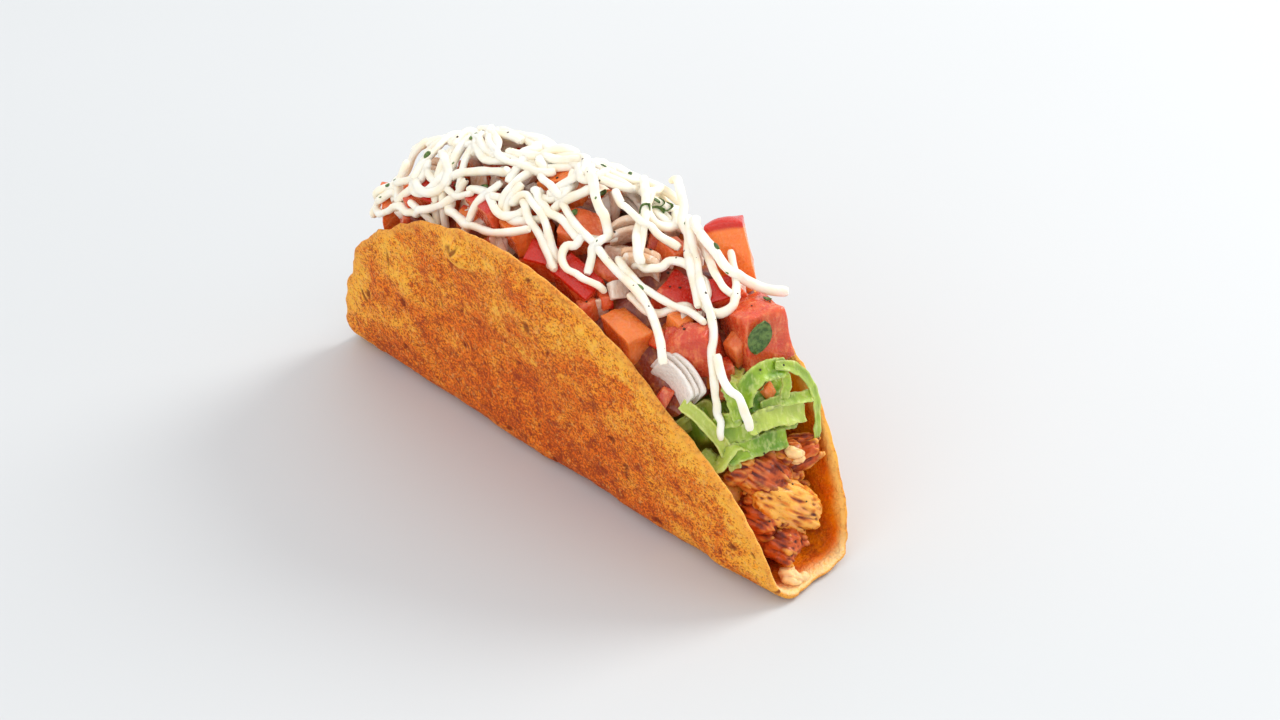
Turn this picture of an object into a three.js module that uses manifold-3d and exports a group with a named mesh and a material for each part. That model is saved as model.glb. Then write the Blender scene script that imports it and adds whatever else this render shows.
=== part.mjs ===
// A soft-fried tortilla folded over chicken, shredded lettuce, fresh tomato salsa and grated cheese.
// Millimetres, +Z up. X runs along the fold, the open mouth that shows most is at +X,
// and the taco stands on the flat strip along its fold.

import * as THREE from "three";
import { mergeVertices } from "three/addons/utils/BufferGeometryUtils.js";
import Module from "manifold-3d";

// The tortilla: a flat disc, bent over two corners into a narrow standing U.
const discRadius = 76;
const shellThickness = 2.8;
const spineHalfWidth = 6.5;
const foldRadius = 8;
const wallAngle = THREE.MathUtils.degToRad(80.5);
const rimWaves = [
  { turns: 2, height: -3.0 },
  { turns: 3, height: 0.5 },
  { turns: 4, height: 0.6 },
  { turns: 5, height: 1.3 },
  { turns: 6, height: 0.6 },
];
const farRimDrop = 3.4;
const wallWaver = { height: 0.7, fullAt: 40, alongX: 0.075, upwards: 0.05, perSide: 0.9 };
const shellRings = [6.5, 11, 15, 19, 27, 37, 48, 58, 68];
const shellSegments = 66;
const endCrowding = 0.5;

// The layers, from the bottom of the fold upwards.
const gap = 0.3;
const wallClearance = 0.9;
const layerOverlap = 3;
const layerOverreach = 4;
const layerSegments = [13, 5, 2];
const layerHalfLengths = { chicken: 57, lettuce: 59, salsa: 51 };
const layerWaves = { chicken: 1.3, lettuce: 1.5, salsa: 1.2 };
const endRounding = 0.07;
const endRaggedness = 0.02;
const chickenTop = 24;
const lettuceTop = 41;
const lettuceRise = { from: 42, slope: 0.45 };

// The salsa is an arch along the fold that leans down to the -Y wall towards the +X mouth.
const salsaShoulder = 40;
const salsaCrown = 25;
const salsaReach = 70;
const salsaLean = { from: -40, to: 45, slope: 0.55 };
const salsaFall = { from: 18, slope: 0.12 };
const nearCurve = 0.02;
const farCurve = 0.03;

// The cheese is a long low heap over the salsa.
const cheeseMiddle = -17;
const cheeseHalfLength = 43;
const cheeseHalfWidth = 14.5;
const cheeseEdge = 1.2;
const cheeseDepth = 9;
const cheeseThinning = { from: -5, to: 25, share: 0.35 };
const cheeseOutline = { ends: 0.06, sides: 0.55, waves: 1.5 };
const cheeseFall = { across: 0.7, along: 0.6, lumps: 0.18 };
const cheeseSegments = [16, 6, 1];

// Knife-cut cubes are a little out of square and bulge on the side where their skin was.
const diceSkew = 0.13;
const skinBulge = 0.12;
const chickenLumps = 0.12;

// Torn chicken: the middle of each piece, its half-lengths and its turn.
const chickenPieces = [
  { at: [65.5, 1.5, 16.8], size: [10.8, 4.4, 6], turn: [-0.67, 0, 1.35] },
  { at: [59.5, -3, 26], size: [8.5, 7, 4.8], turn: [0.1, 0.5, 0.4] },
  { at: [60, 8.5, 25], size: [7, 4, 4.2], turn: [0.5, -0.2, 0.9] },
  { at: [66.5, -2.5, 9.6], size: [6.6, 5.6, 4.6], turn: [0, 0.2, 0.3] },
  { at: [63, -6.2, 15], size: [6, 3.2, 5.2], turn: [0.2, 0.1, 0.2] },
  { at: [-62.5, 2.5, 16], size: [8, 6, 5], turn: [0.3, -0.4, 0.4] },
  { at: [-60, -3, 25.5], size: [7.5, 6, 4.2], turn: [0.1, -0.3, -0.5] },
  { at: [-67, 0.5, 7.6], size: [5, 5, 3.6], turn: [0, 0.2, 0.1] },
];

// Diced tomato and onion: the middle of each piece, its sides and its turn.
const tomatoPieces = [
  { at: [50, 5.5, 56], size: [13, 11, 13], turn: [0.1, -0.2, -0.25] },
  { at: [35, 12, 66], size: [9, 6, 18], turn: [0.06, -0.27, 0.75] },
  { at: [43.5, -7, 53], size: [11, 6, 12], turn: [0.29, -0.28, 0.6] },
  { at: [26.5, -12.5, 51.5], size: [11, 7, 8], turn: [0.2, 0.1, -0.2] },
  { at: [10, -12, 57.5], size: [11, 7, 9], turn: [0.4, 0.2, -0.1] },
  { at: [-10, 2, 70], size: [10, 9, 8], turn: [0.2, -0.3, 0.5] },
  { at: [31, 0.5, 57.5], size: [12, 10, 8], turn: [-0.1, 0.3, 0.4] },
  { at: [39, 3, 61.5], size: [9, 7, 7], turn: [0.4, 0.2, 0.9] },
  { at: [2, -4, 64.5], size: [10, 8, 8], turn: [0.2, 0.3, 0.6] },
  { at: [-1, -13, 59], size: [8, 6, 8], turn: [0.3, 0.2, 0.4] },
  { at: [-11, -12, 62], size: [9, 6, 7], turn: [0.2, -0.1, -0.3] },
  { at: [-22, -11, 64], size: [11, 6, 6], turn: [0.3, -0.2, -0.2] },
  { at: [-40, -11, 58.5], size: [11, 7, 6], turn: [0.4, 0.1, 0.2] },
  { at: [-58, -9, 46.5], size: [9, 8, 8], turn: [0.2, 0.3, 0.8] },
  { at: [-30, 10, 62.5], size: [10, 9, 8], turn: [0.3, -0.4, 0.3] },
];
const onionPieces = [
  { at: [43, -12.5, 48], size: [13, 4, 9], turn: [0.1, 0.6, 0] },
  { at: [20, -2, 63.5], size: [10, 4, 8], turn: [0.3, 0.2, 0.5] },
  { at: [12, 1.5, 67.5], size: [9, 4, 8], turn: [0.5, 0.3, 0.9] },
  { at: [-49, -4, 58], size: [9, 5, 8], turn: [0.5, 0.1, 0.3] },
  { at: [4, 13, 66], size: [9, 3.5, 7], turn: [1.1, 0.2, -0.4] },
];

const skins = {
  shell: { color: 0xc97a35, roughness: 0.75 },
  chicken: { color: 0x9c4a24, roughness: 0.45 },
  lettuce: { color: 0x9ccb4c, roughness: 0.5 },
  salsa: { color: 0xc9694a, roughness: 0.4 },
  tomato: { color: 0xd8452f, roughness: 0.3 },
  onion: { color: 0xf0e3d6, roughness: 0.35 },
  cheese: { color: 0xf7efdf, roughness: 0.5 },
};

const wasm = await Module();
wasm.setup();

const group = new THREE.Group();
const clamp = THREE.MathUtils.clamp;
const lerp = THREE.MathUtils.lerp;
const cornerLength = foldRadius * wallAngle;

// An even, repeatable unevenness between -1 and 1.
function unevenness(x, y, z) {
  const long = Math.sin(0.21 * x + 1.3 * Math.sin(0.17 * y + 0.6) + 0.4);
  const cross = Math.sin(0.33 * y - 0.23 * x + 0.29 * z + 1.1);
  const fine = Math.sin(0.52 * x + 0.61 * y + 0.47 * z);
  return 0.45 * long + 0.35 * cross + 0.2 * fine;
}

// How far a standing wall leans in or out of true, growing from the fold to the rim.
function waverAt(x, climb, side) {
  const growth = clamp(climb / wallWaver.fullAt, 0, 1);
  const turn = wallWaver.alongX * x + wallWaver.upwards * climb + wallWaver.perSide * side;
  return wallWaver.height * growth * Math.sin(turn);
}

// Takes a point of the flat disc, with its depth from the outer face, to its place in the folded shell.
function fold(x, across, depth) {
  const side = across < 0 ? -1 : 1;
  const distance = Math.abs(across);
  const flat = Math.min(distance, spineHalfWidth);
  const bent = clamp(distance - spineHalfWidth, 0, cornerLength) / foldRadius;
  const climb = Math.max(distance - spineHalfWidth - cornerLength, 0);
  const waver = waverAt(x, climb, side);
  const y = flat + foldRadius * Math.sin(bent) + climb * Math.cos(wallAngle) + waver;
  const z = foldRadius * (1 - Math.cos(bent)) + climb * Math.sin(wallAngle);
  return new THREE.Vector3(x, side * (y - depth * Math.sin(bent)), z + depth * Math.cos(bent));
}

// Half the room between the walls at height z, clear of the inner faces by the gap.
function roomAt(x, z, side) {
  const inside = foldRadius - shellThickness;
  const turn = Math.acos(clamp(1 - (z - shellThickness) / inside, Math.cos(wallAngle), 1));
  const cornerHeight = foldRadius * (1 - Math.cos(wallAngle)) + shellThickness * Math.cos(wallAngle);
  const climb = Math.max(z - cornerHeight, 0) / Math.sin(wallAngle);
  const straight = climb * Math.cos(wallAngle) + Math.min(waverAt(x, climb, side), 0);
  return spineHalfWidth + inside * Math.sin(turn) + straight - wallClearance;
}

function rimRadius(angle) {
  if (Math.sin(angle) < 0) {
    const waves = rimWaves.map((wave) => wave.height * Math.sin(wave.turns * -angle));
    return discRadius + waves.reduce((sum, height) => sum + height, 0);
  }
  return discRadius - farRimDrop * Math.sin(angle) ** 2;
}

// Gives every vertex of a geometry a new place and returns one closed solid.
function reshaped(geometry, place) {
  const positions = geometry.getAttribute("position");
  const point = new THREE.Vector3();
  for (let i = 0; i < positions.count; i += 1) {
    point.fromBufferAttribute(positions, i);
    positions.setXYZ(i, ...place(point).toArray());
  }
  geometry.deleteAttribute("normal");
  geometry.deleteAttribute("uv");
  const merged = mergeVertices(geometry, 1e-3);
  return new wasm.Manifold(
    new wasm.Mesh({
      numProp: 3,
      vertProperties: new Float32Array(merged.getAttribute("position").array),
      triVerts: new Uint32Array(merged.index.array),
    }),
  );
}

// The largest body of a solid, as a mesh in the group.
function addNode(name, skin, solid) {
  const bodies = solid.decompose();
  const largest = bodies.reduce((best, body) => (body.volume() > best.volume() ? body : best));
  const cut = largest.getMesh();
  const geometry = new THREE.BufferGeometry();
  geometry.setAttribute("position", new THREE.BufferAttribute(cut.vertProperties, 3));
  geometry.setIndex(new THREE.BufferAttribute(cut.triVerts, 1));
  geometry.computeVertexNormals();
  const material = new THREE.MeshStandardMaterial({ ...skins[skin], metalness: 0 });
  const mesh = new THREE.Mesh(geometry, material);
  mesh.name = name;
  group.add(mesh);
}

// The disc, with a rounded rim, turned about its middle and then folded.
function tortilla() {
  const edge = shellThickness / 2;
  const lower = shellRings.map((radius) => new THREE.Vector2(radius, 0));
  const upper = shellRings.toReversed().map((radius) => new THREE.Vector2(radius, shellThickness));
  const rim = new THREE.Path();
  rim.absarc(discRadius - edge, edge, edge, -Math.PI / 2, Math.PI / 2);
  const middle = new THREE.Vector2(0, 0);
  const top = new THREE.Vector2(0, shellThickness);
  const profile = [middle, ...lower, ...rim.getPoints(2), ...upper, top];
  const disc = new THREE.LatheGeometry(profile, shellSegments);
  return reshaped(disc, (point) => {
    const even = Math.atan2(-point.z, point.x);
    const angle = even - (endCrowding / 2) * Math.sin(2 * even);
    const radius = Math.hypot(point.x, point.z) * (rimRadius(angle) / discRadius);
    return fold(radius * Math.cos(angle), radius * Math.sin(angle), point.y);
  });
}

// A layer that fills the fold from wall to wall, between two heights, with uneven faces and round ends.
// Grown, it reaches out on every side and stands higher, to cut its room from the layer that lies on it.
function layer(bed, grown) {
  const block = new THREE.BoxGeometry(2, 2, 2, ...layerSegments);
  const overreach = layerOverreach * grown;
  return reshaped(block, (point) => {
    const roundness = 1 - endRounding * (point.y ** 2 + point.z ** 2);
    const ragged = 1 + endRaggedness * unevenness(9 * point.y, 11 * point.z, 5);
    const x = (bed.halfLength + overreach) * point.x * roundness * ragged;
    const share = (point.z + 1) / 2;
    const room = (z) => roomAt(x, z, Math.sign(point.y)) + overreach;
    const y = point.y * room(lerp(bed.low(x, 0), bed.high(x, 0), share));
    const z = lerp(bed.low(x, y), bed.high(x, y) + 2 * grown, share);
    return new THREE.Vector3(x, clamp(y, -room(z), room(z)), z);
  });
}

const chickenTopAt = (x, y) => chickenTop + layerWaves.chicken * unevenness(x, y, 0);
const lettuceTopAt = (x, y) => {
  const rise = lettuceRise.slope * Math.max(x - lettuceRise.from, 0);
  return lettuceTop + rise + layerWaves.lettuce * unevenness(y, x, 9);
};
const shareAlong = (x, span) => clamp((x - span.from) / (span.to - span.from), 0, 1);
const salsaTopAt = (x, y) => {
  const arch = Math.sqrt(Math.max(1 - (x / salsaReach) ** 2, 0));
  const lean = salsaLean.slope * shareAlong(x, salsaLean);
  const fall = salsaFall.slope * Math.max(x - salsaFall.from, 0);
  const curve = (y < 0 ? nearCurve : farCurve) * y * y;
  const waves = layerWaves.salsa * unevenness(x, y, 21);
  return salsaShoulder + salsaCrown * arch + lean * y - fall - curve + waves;
};
// Each layer starts a little below the top of the one that it lies on, which is then cut from it.
const below = (surface) => (x, y) => surface(x, y) - layerOverlap;
const lowest = () => shellThickness + 2 * gap;
const chickenLayer = { halfLength: layerHalfLengths.chicken, low: lowest, high: chickenTopAt };
const lettuceLayer = { halfLength: layerHalfLengths.lettuce, low: below(chickenTopAt), high: lettuceTopAt };
const salsaLayer = { halfLength: layerHalfLengths.salsa, low: below(lettuceTopAt), high: salsaTopAt };

// The grated cheese lies thick over the -X half and thins out towards the +X mouth.
function cheeseHeap() {
  const block = new THREE.BoxGeometry(2, 2, 2, ...cheeseSegments);
  return reshaped(block, (point) => {
    const x = cheeseMiddle + cheeseHalfLength * point.x * (1 - cheeseOutline.ends * point.y ** 2);
    const halfWidth = cheeseHalfWidth + cheeseOutline.waves * unevenness(x, 3, 3);
    const y = point.y * halfWidth * Math.sqrt(1 - cheeseOutline.sides * point.x ** 4);
    const thinning = 1 - cheeseThinning.share * shareAlong(x, cheeseThinning);
    const slope = (1 - cheeseFall.across * point.y ** 2) * (1 - cheeseFall.along * point.x ** 4);
    const lumps = 1 + cheeseFall.lumps * unevenness(x, y, 40);
    const depth = cheeseEdge + cheeseDepth * thinning * slope * lumps;
    return new THREE.Vector3(x, y, salsaTopAt(x, y) + (point.z > 0 ? depth : -layerOverlap));
  });
}

// A torn piece of chicken: a lumpy oval with half-lengths size. Grown, it cuts room in its neighbours.
function chickenPiece(piece, grown) {
  const turn = new THREE.Euler(...piece.turn);
  const half = new THREE.Vector3(...piece.size);
  const ball = new THREE.IcosahedronGeometry(1, 1);
  return reshaped(ball, (point) => {
    const lumps = 1 + chickenLumps * unevenness(9 * point.x + piece.at[0], 11 * point.y, 13 * point.z);
    const place = point.clone().multiply(half).multiplyScalar(lumps);
    place.add(point.clone().multiplyScalar(grown));
    return place.applyEuler(turn).add(new THREE.Vector3(...piece.at));
  });
}

// A diced piece with sides size: flat knife cuts, and one bulging outer side where its skin was.
function dicedPiece(piece, grown) {
  const turn = new THREE.Euler(...piece.turn);
  const middle = new THREE.Vector3(...piece.at);
  const half = new THREE.Vector3(...piece.size).multiplyScalar(0.5).addScalar(grown);
  const block = new THREE.BoxGeometry(2, 2, 2, 2, 2, 2);
  return reshaped(block, (point) => {
    const skewed = point.clone();
    skewed.x += diceSkew * point.z * Math.sin(middle.x);
    skewed.y += diceSkew * point.x * Math.cos(middle.y);
    if (point.z > 0) skewed.z += skinBulge * (1 - point.x ** 2) * (1 - point.y ** 2);
    return skewed.multiply(half).applyEuler(turn).add(middle);
  });
}

// Cuts from a solid the room that the grown pieces take.
function cutBy(solid, grownPieces) {
  return grownPieces.reduce((left, piece) => left.subtract(piece), solid);
}

addNode("tortilla_shell", "shell", tortilla());

const chickenRoom = chickenPieces.map((piece) => chickenPiece(piece, gap));
chickenPieces.forEach((piece, i) => {
  const solid = cutBy(chickenPiece(piece, 0), chickenRoom.slice(0, i));
  addNode(`chicken_piece_${i + 1}`, "chicken", solid);
});
const chickenBed = cutBy(layer(chickenLayer, 0), chickenRoom);
addNode("chicken_filling", "chicken", chickenBed);

const diced = [...tomatoPieces, ...onionPieces];
const dicedRoom = diced.map((piece) => dicedPiece(piece, gap));
diced.forEach((piece, i) => {
  const tomato = i < tomatoPieces.length;
  const name = tomato ? `tomato_dice_${i + 1}` : `onion_dice_${i + 1 - tomatoPieces.length}`;
  const solid = cutBy(dicedPiece(piece, 0), dicedRoom.slice(0, i));
  addNode(name, tomato ? "tomato" : "onion", solid);
});

const lettuceRoom = [layer(chickenLayer, gap), ...chickenRoom, ...dicedRoom];
addNode("lettuce_bed", "lettuce", cutBy(layer(lettuceLayer, 0), lettuceRoom));
const salsaBed = cutBy(layer(salsaLayer, 0), [layer(lettuceLayer, gap), ...dicedRoom]);
addNode("salsa_bed", "salsa", salsaBed);
addNode("cheese_heap", "cheese", cutBy(cheeseHeap(), [layer(salsaLayer, gap), ...dicedRoom]));

export default group;
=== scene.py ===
import math
import random

import bmesh
import bpy
import numpy as np
from mathutils import Euler, Matrix, Vector, noise
from mathutils.bvhtree import BVHTree
from mathutils.kdtree import KDTree


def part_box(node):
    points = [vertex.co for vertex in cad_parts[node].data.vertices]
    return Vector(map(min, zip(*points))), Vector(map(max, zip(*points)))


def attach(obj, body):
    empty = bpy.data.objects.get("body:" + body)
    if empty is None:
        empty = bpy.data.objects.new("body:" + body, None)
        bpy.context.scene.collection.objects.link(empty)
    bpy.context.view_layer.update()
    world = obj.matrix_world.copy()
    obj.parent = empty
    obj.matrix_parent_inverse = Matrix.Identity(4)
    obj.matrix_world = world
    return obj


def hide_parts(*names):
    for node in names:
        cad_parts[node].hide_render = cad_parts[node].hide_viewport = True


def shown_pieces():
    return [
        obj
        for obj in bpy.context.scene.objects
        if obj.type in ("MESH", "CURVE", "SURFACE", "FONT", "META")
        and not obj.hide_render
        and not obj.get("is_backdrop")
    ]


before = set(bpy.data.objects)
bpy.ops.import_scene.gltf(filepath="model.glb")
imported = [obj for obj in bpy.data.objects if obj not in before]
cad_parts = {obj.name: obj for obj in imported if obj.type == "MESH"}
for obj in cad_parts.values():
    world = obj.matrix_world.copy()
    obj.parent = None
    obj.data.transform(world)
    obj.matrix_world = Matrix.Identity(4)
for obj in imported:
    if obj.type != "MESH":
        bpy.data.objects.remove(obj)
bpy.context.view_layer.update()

mm = 0.001


class Wire:
    # one output of a node, with arithmetic that adds Math nodes
    def __init__(self, finish, socket):
        self.finish = finish
        self.socket = socket

    def math(self, operation, *values):
        return self.finish.node("ShaderNodeMath", {"operation": operation}, dict(enumerate(values)))

    def __add__(self, other):
        return self.math("ADD", self, other)

    def __sub__(self, other):
        return self.math("SUBTRACT", self, other)

    def __rsub__(self, other):
        return self.math("SUBTRACT", other, self)

    def __mul__(self, other):
        return self.math("MULTIPLY", self, other)

    __radd__ = __add__
    __rmul__ = __mul__

    def fade(self, low, high):
        # 0 below low, 1 above high, smooth between
        values = {"Value": self, "From Min": low, "From Max": high}
        return self.finish.node("ShaderNodeMapRange", {"interpolation_type": "SMOOTHSTEP"}, values)


class Finish:
    # a material while it is being built
    def __init__(self, name, **shaderValues):
        self.material = bpy.data.materials.new(name)
        self.material.use_nodes = True
        self.tree = self.material.node_tree
        self.shader = self.tree.nodes["Principled BSDF"]
        for key, value in shaderValues.items():
            self.shader.inputs[key.replace("_", " ")].default_value = value
        self.place = self.node("ShaderNodeTexCoord", output="Object")

    def node(self, kind, settings=None, values=None, output=0):
        made = self.tree.nodes.new(kind)
        for key, value in (settings or {}).items():
            setattr(made, key, value)
        for key, value in (values or {}).items():
            if isinstance(value, Wire):
                self.tree.links.new(value.socket, made.inputs[key])
            else:
                made.inputs[key].default_value = value
        return Wire(self, made.outputs[output])

    def grain(self, size, detail=2.0, roughness=0.5, stretch=None):
        # noise with features of about this size in metres
        place = self.place
        if stretch:
            place = self.node("ShaderNodeMapping", None, {"Vector": place, "Scale": stretch})
        values = {"Vector": place, "Scale": 1 / size, "Detail": detail, "Roughness": roughness}
        return self.node("ShaderNodeTexNoise", None, values)

    def attribute(self, name):
        return self.node("ShaderNodeAttribute", {"attribute_name": name}, output="Fac")

    def blend(self, share, first, second):
        asColour = lambda c: (*c, 1) if isinstance(c, tuple) else c
        values = {0: share, 6: asColour(first), 7: asColour(second)}
        return self.node("ShaderNodeMix", {"data_type": "RGBA", "clamp_factor": True}, values, output=2)

    def feed(self, **sockets):
        for key, wire in sockets.items():
            self.tree.links.new(wire.socket, self.shader.inputs[key.replace("_", " ")])

    def bump(self, height, distance, strength=1.0):
        values = {"Height": height, "Distance": distance, "Strength": strength}
        return self.node("ShaderNodeBump", None, values)


def srgb(red, green, blue):
    # a colour as seen on a screen, 0 to 255, as linear light
    return tuple(((c / 255 + 0.055) / 1.055) ** 2.4 for c in (red, green, blue))


def meshOf(name, bm):
    mesh = bpy.data.meshes.new(name)
    bm.to_mesh(mesh)
    bm.free()
    return mesh


def inScene(name, data):
    made = bpy.data.objects.new(name, data)
    bpy.context.scene.collection.objects.link(made)
    return made


def newPiece(name, bm, material, nodes=()):
    return dress(name, meshOf(name, bm), material, nodes)


def dress(name, mesh, material, nodes=()):
    mesh.materials.clear()
    mesh.materials.append(material)
    mesh.polygons.foreach_set("use_smooth", [True] * len(mesh.polygons))
    piece = inScene(name, mesh)
    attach(piece, "root")
    if nodes:
        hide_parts(*nodes)
    return piece


def applied(name, bm, *modifiers):
    # runs modifiers on a mesh and hands back the finished mesh data
    holder = inScene(name, meshOf(name, bm))
    for kind, settings in modifiers:
        modifier = holder.modifiers.new(kind, kind)
        for key, value in settings.items():
            setattr(modifier, key, value)
    graph = bpy.context.evaluated_depsgraph_get()
    made = bpy.data.meshes.new_from_object(holder.evaluated_get(graph))
    bpy.data.objects.remove(holder)
    return made


def thickened(piece, thickness, offset):
    modifier = piece.modifiers.new("leafThickness", "SOLIDIFY")
    modifier.thickness = thickness
    modifier.offset = offset


def scaled(x, y, z):
    return Matrix.Diagonal((x, y, z, 1))


def anyTurn(draw):
    return Euler([draw.uniform(0, math.pi) for k in range(3)]).to_matrix().to_4x4()


def downwards(ground, x, y):
    # where a line straight down at a place in metres meets the ground, and the ground's normal
    hit, normal, index, distance = ground.ray_cast(Vector((x, y, 0.15)), Vector((0, 0, -1)))
    return hit, normal


def setAttribute(mesh, name, values):
    layer = mesh.attributes.get(name) or mesh.attributes.new(name, "FLOAT", "POINT")
    layer.data.foreach_set("value", np.asarray(values, np.float32))


def wobble(point, size, seed=0.0):
    # smooth noise between about -1 and 1, features of this size in metres
    return noise.noise(Vector(point) / size + Vector((seed, 1.7 * seed, -seed)))


def layered(point, layers):
    # several sizes of that noise on each other, each with its height, its size in mm and its seed
    return sum(height * wobble(point, size * mm, seed) for height, size, seed in layers)


def smooth(value, low, high):
    share = min(max((value - low) / (high - low), 0.0), 1.0)
    return share * share * (3 - 2 * share)


def along(points, steps):
    # a smooth run of points through the given ones
    knots = np.array([points[0], *points, points[-1]], float)
    knots[0] = 2 * knots[1] - knots[2]
    knots[-1] = 2 * knots[-2] - knots[-3]
    run = []
    for t in np.linspace(0, len(points) - 1 - 1e-9, steps):
        i = int(t)
        u = t - i
        a, b, c, d = knots[i:i + 4]
        square = 2 * a - 5 * b + 4 * c - d
        cube = 3 * b - a - 3 * c + d
        run.append(0.5 * (2 * b + (c - a) * u + square * u ** 2 + cube * u ** 3))
    return np.array(run)


shell = {
    "radius": 76.0 * mm,      # of the flat tortilla
    "thickness": 2.8 * mm,
    "spine": 6.5 * mm,        # half the flat strip it stands on
    "foldRadius": 8.0 * mm,
    "wallAngle": math.radians(80.5),
    "nearRim": {2: -3.0, 3: 0.5, 4: 0.6, 5: 1.3, 6: 0.6},   # waves round the near rim, in mm
    "farDrop": 3.4 * mm,
    "waver": 0.7 * mm,
    "rings": 72,
    "turns": 380,
    "blisters": 42,
    "blisterSizes": (3.0, 7.5),
    "blisterHeights": (0.25, 0.75),
    # the big one at the near rim: its place on the flat tortilla, its size and its height, in mm
    "bigBlister": (-22.5, -68, 6, 2.2),
    # places on the flat tortilla, then the size, in mm
    "scorched": [(-22.5, -69.5, 1.7), (-65, -31.5, 1.6), (-62.5, -34, 1.2)],
    # layers of noise
    "ragged": [(0.9, 13, 3), (0.8, 4.5, 5), (0.35, 1.8, 6)],
    "swell": [(0.8, 30, 11), (0.45, 13, 2)],
    "skin": [(0.22, 5.5, 8), (0.12, 2.4, 9), (0.07, 1.1, 10)],
    "dough": [srgb(255, 190, 68), srgb(255, 166, 44)],
    "seasoning": srgb(252, 134, 28),
    "grains": srgb(226, 96, 18),
    "dots": srgb(150, 50, 16),
    "clots": srgb(140, 48, 18),
    "bare": srgb(255, 190, 100),
    "rim": srgb(232, 156, 70),
    "burnt": srgb(122, 42, 14),
    "sauce": [srgb(255, 140, 4), srgb(242, 108, 6)],
    "sauceGrains": srgb(196, 70, 10),
    "pooledSauce": srgb(176, 66, 16),
    "innerRim": srgb(252, 190, 96),
    "dryTip": srgb(255, 216, 156),
}
cornerLength = shell["foldRadius"] * shell["wallAngle"]


def waverAt(x, climb, side):
    growth = min(max(climb / (40 * mm), 0), 1)
    return shell["waver"] * growth * math.sin(75 * x + 50 * climb + side * 0.9)


def fold(x, across, depth):
    # a point of the flat tortilla, depth below its outer face, to its place in the folded shell
    side = -1 if across < 0 else 1
    distance = abs(across)
    flat = min(distance, shell["spine"])
    bent = min(max(distance - shell["spine"], 0), cornerLength) / shell["foldRadius"]
    climb = max(distance - shell["spine"] - cornerLength, 0)
    y = flat + shell["foldRadius"] * math.sin(bent) + climb * math.cos(shell["wallAngle"])
    y += waverAt(x, climb, side)
    z = shell["foldRadius"] * (1 - math.cos(bent)) + climb * math.sin(shell["wallAngle"])
    return Vector((x, side * (y - depth * math.sin(bent)), z + depth * math.cos(bent)))


def rimRadius(angle):
    if math.sin(angle) < 0:
        waves = sum(height * math.sin(-turns * angle) for turns, height in shell["nearRim"].items())
        return shell["radius"] + waves * mm
    return shell["radius"] - shell["farDrop"] * math.sin(angle) ** 2


def flatTortilla():
    # the tortilla before it is folded, made by turning its profile; z is the depth below its outer face
    bm = bmesh.new()
    half = shell["thickness"] / 2
    reach = shell["radius"] - half
    radii = [reach * i / shell["rings"] for i in range(shell["rings"] + 1)]
    profile = [(r, 0.0) for r in radii]
    for a in np.linspace(0, math.pi, 9)[1:-1]:
        profile.append((reach + half * math.sin(a), half - half * math.cos(a)))
    profile += [(r, shell["thickness"]) for r in reversed(radii)]
    verts = [bm.verts.new((r, 0, depth)) for r, depth in profile]
    edges = [bm.edges.new(pair) for pair in zip(verts, verts[1:])]
    bmesh.ops.spin(bm, geom=verts + edges, cent=(0, 0, 0), axis=(0, 0, 1), angle=2 * math.pi,
                   steps=shell["turns"], use_merge=True)
    bmesh.ops.remove_doubles(bm, verts=bm.verts, dist=1e-6)
    bmesh.ops.recalc_face_normals(bm, faces=bm.faces)
    return bm


def layBlisters():
    draw = random.Random(5)
    blisters = []
    for i in range(shell["blisters"]):
        angle = draw.uniform(0, 2 * math.pi)
        radius = shell["radius"] * math.sqrt(draw.uniform(0.05, 0.97))
        size = draw.uniform(*shell["blisterSizes"]) * mm
        height = draw.uniform(*shell["blisterHeights"]) * mm
        blisters.append((radius * math.cos(angle), radius * math.sin(angle), size, height))
    blisters.append(tuple(value * mm for value in shell["bigBlister"]))
    tree = KDTree(len(blisters))
    for i, (x, across, size, height) in enumerate(blisters):
        tree.insert((x, across, 0), i)
    tree.balance()
    return blisters, tree


def pitAt(x, across, spot):
    # how deep the skin is pitted, in mm
    pit = max(wobble(spot, 3.1 * mm, 20) - 0.46, 0) * 1.6
    for pitX, pitAcross, size in shell["scorched"]:
        near = math.hypot(x / mm - pitX, across / mm - pitAcross) + 1.3 * wobble(spot, 1.3 * mm, 21)
        pit = max(pit, 0.5 * (1 - smooth(near, 0.3 * size, size)))
    return pit


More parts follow.
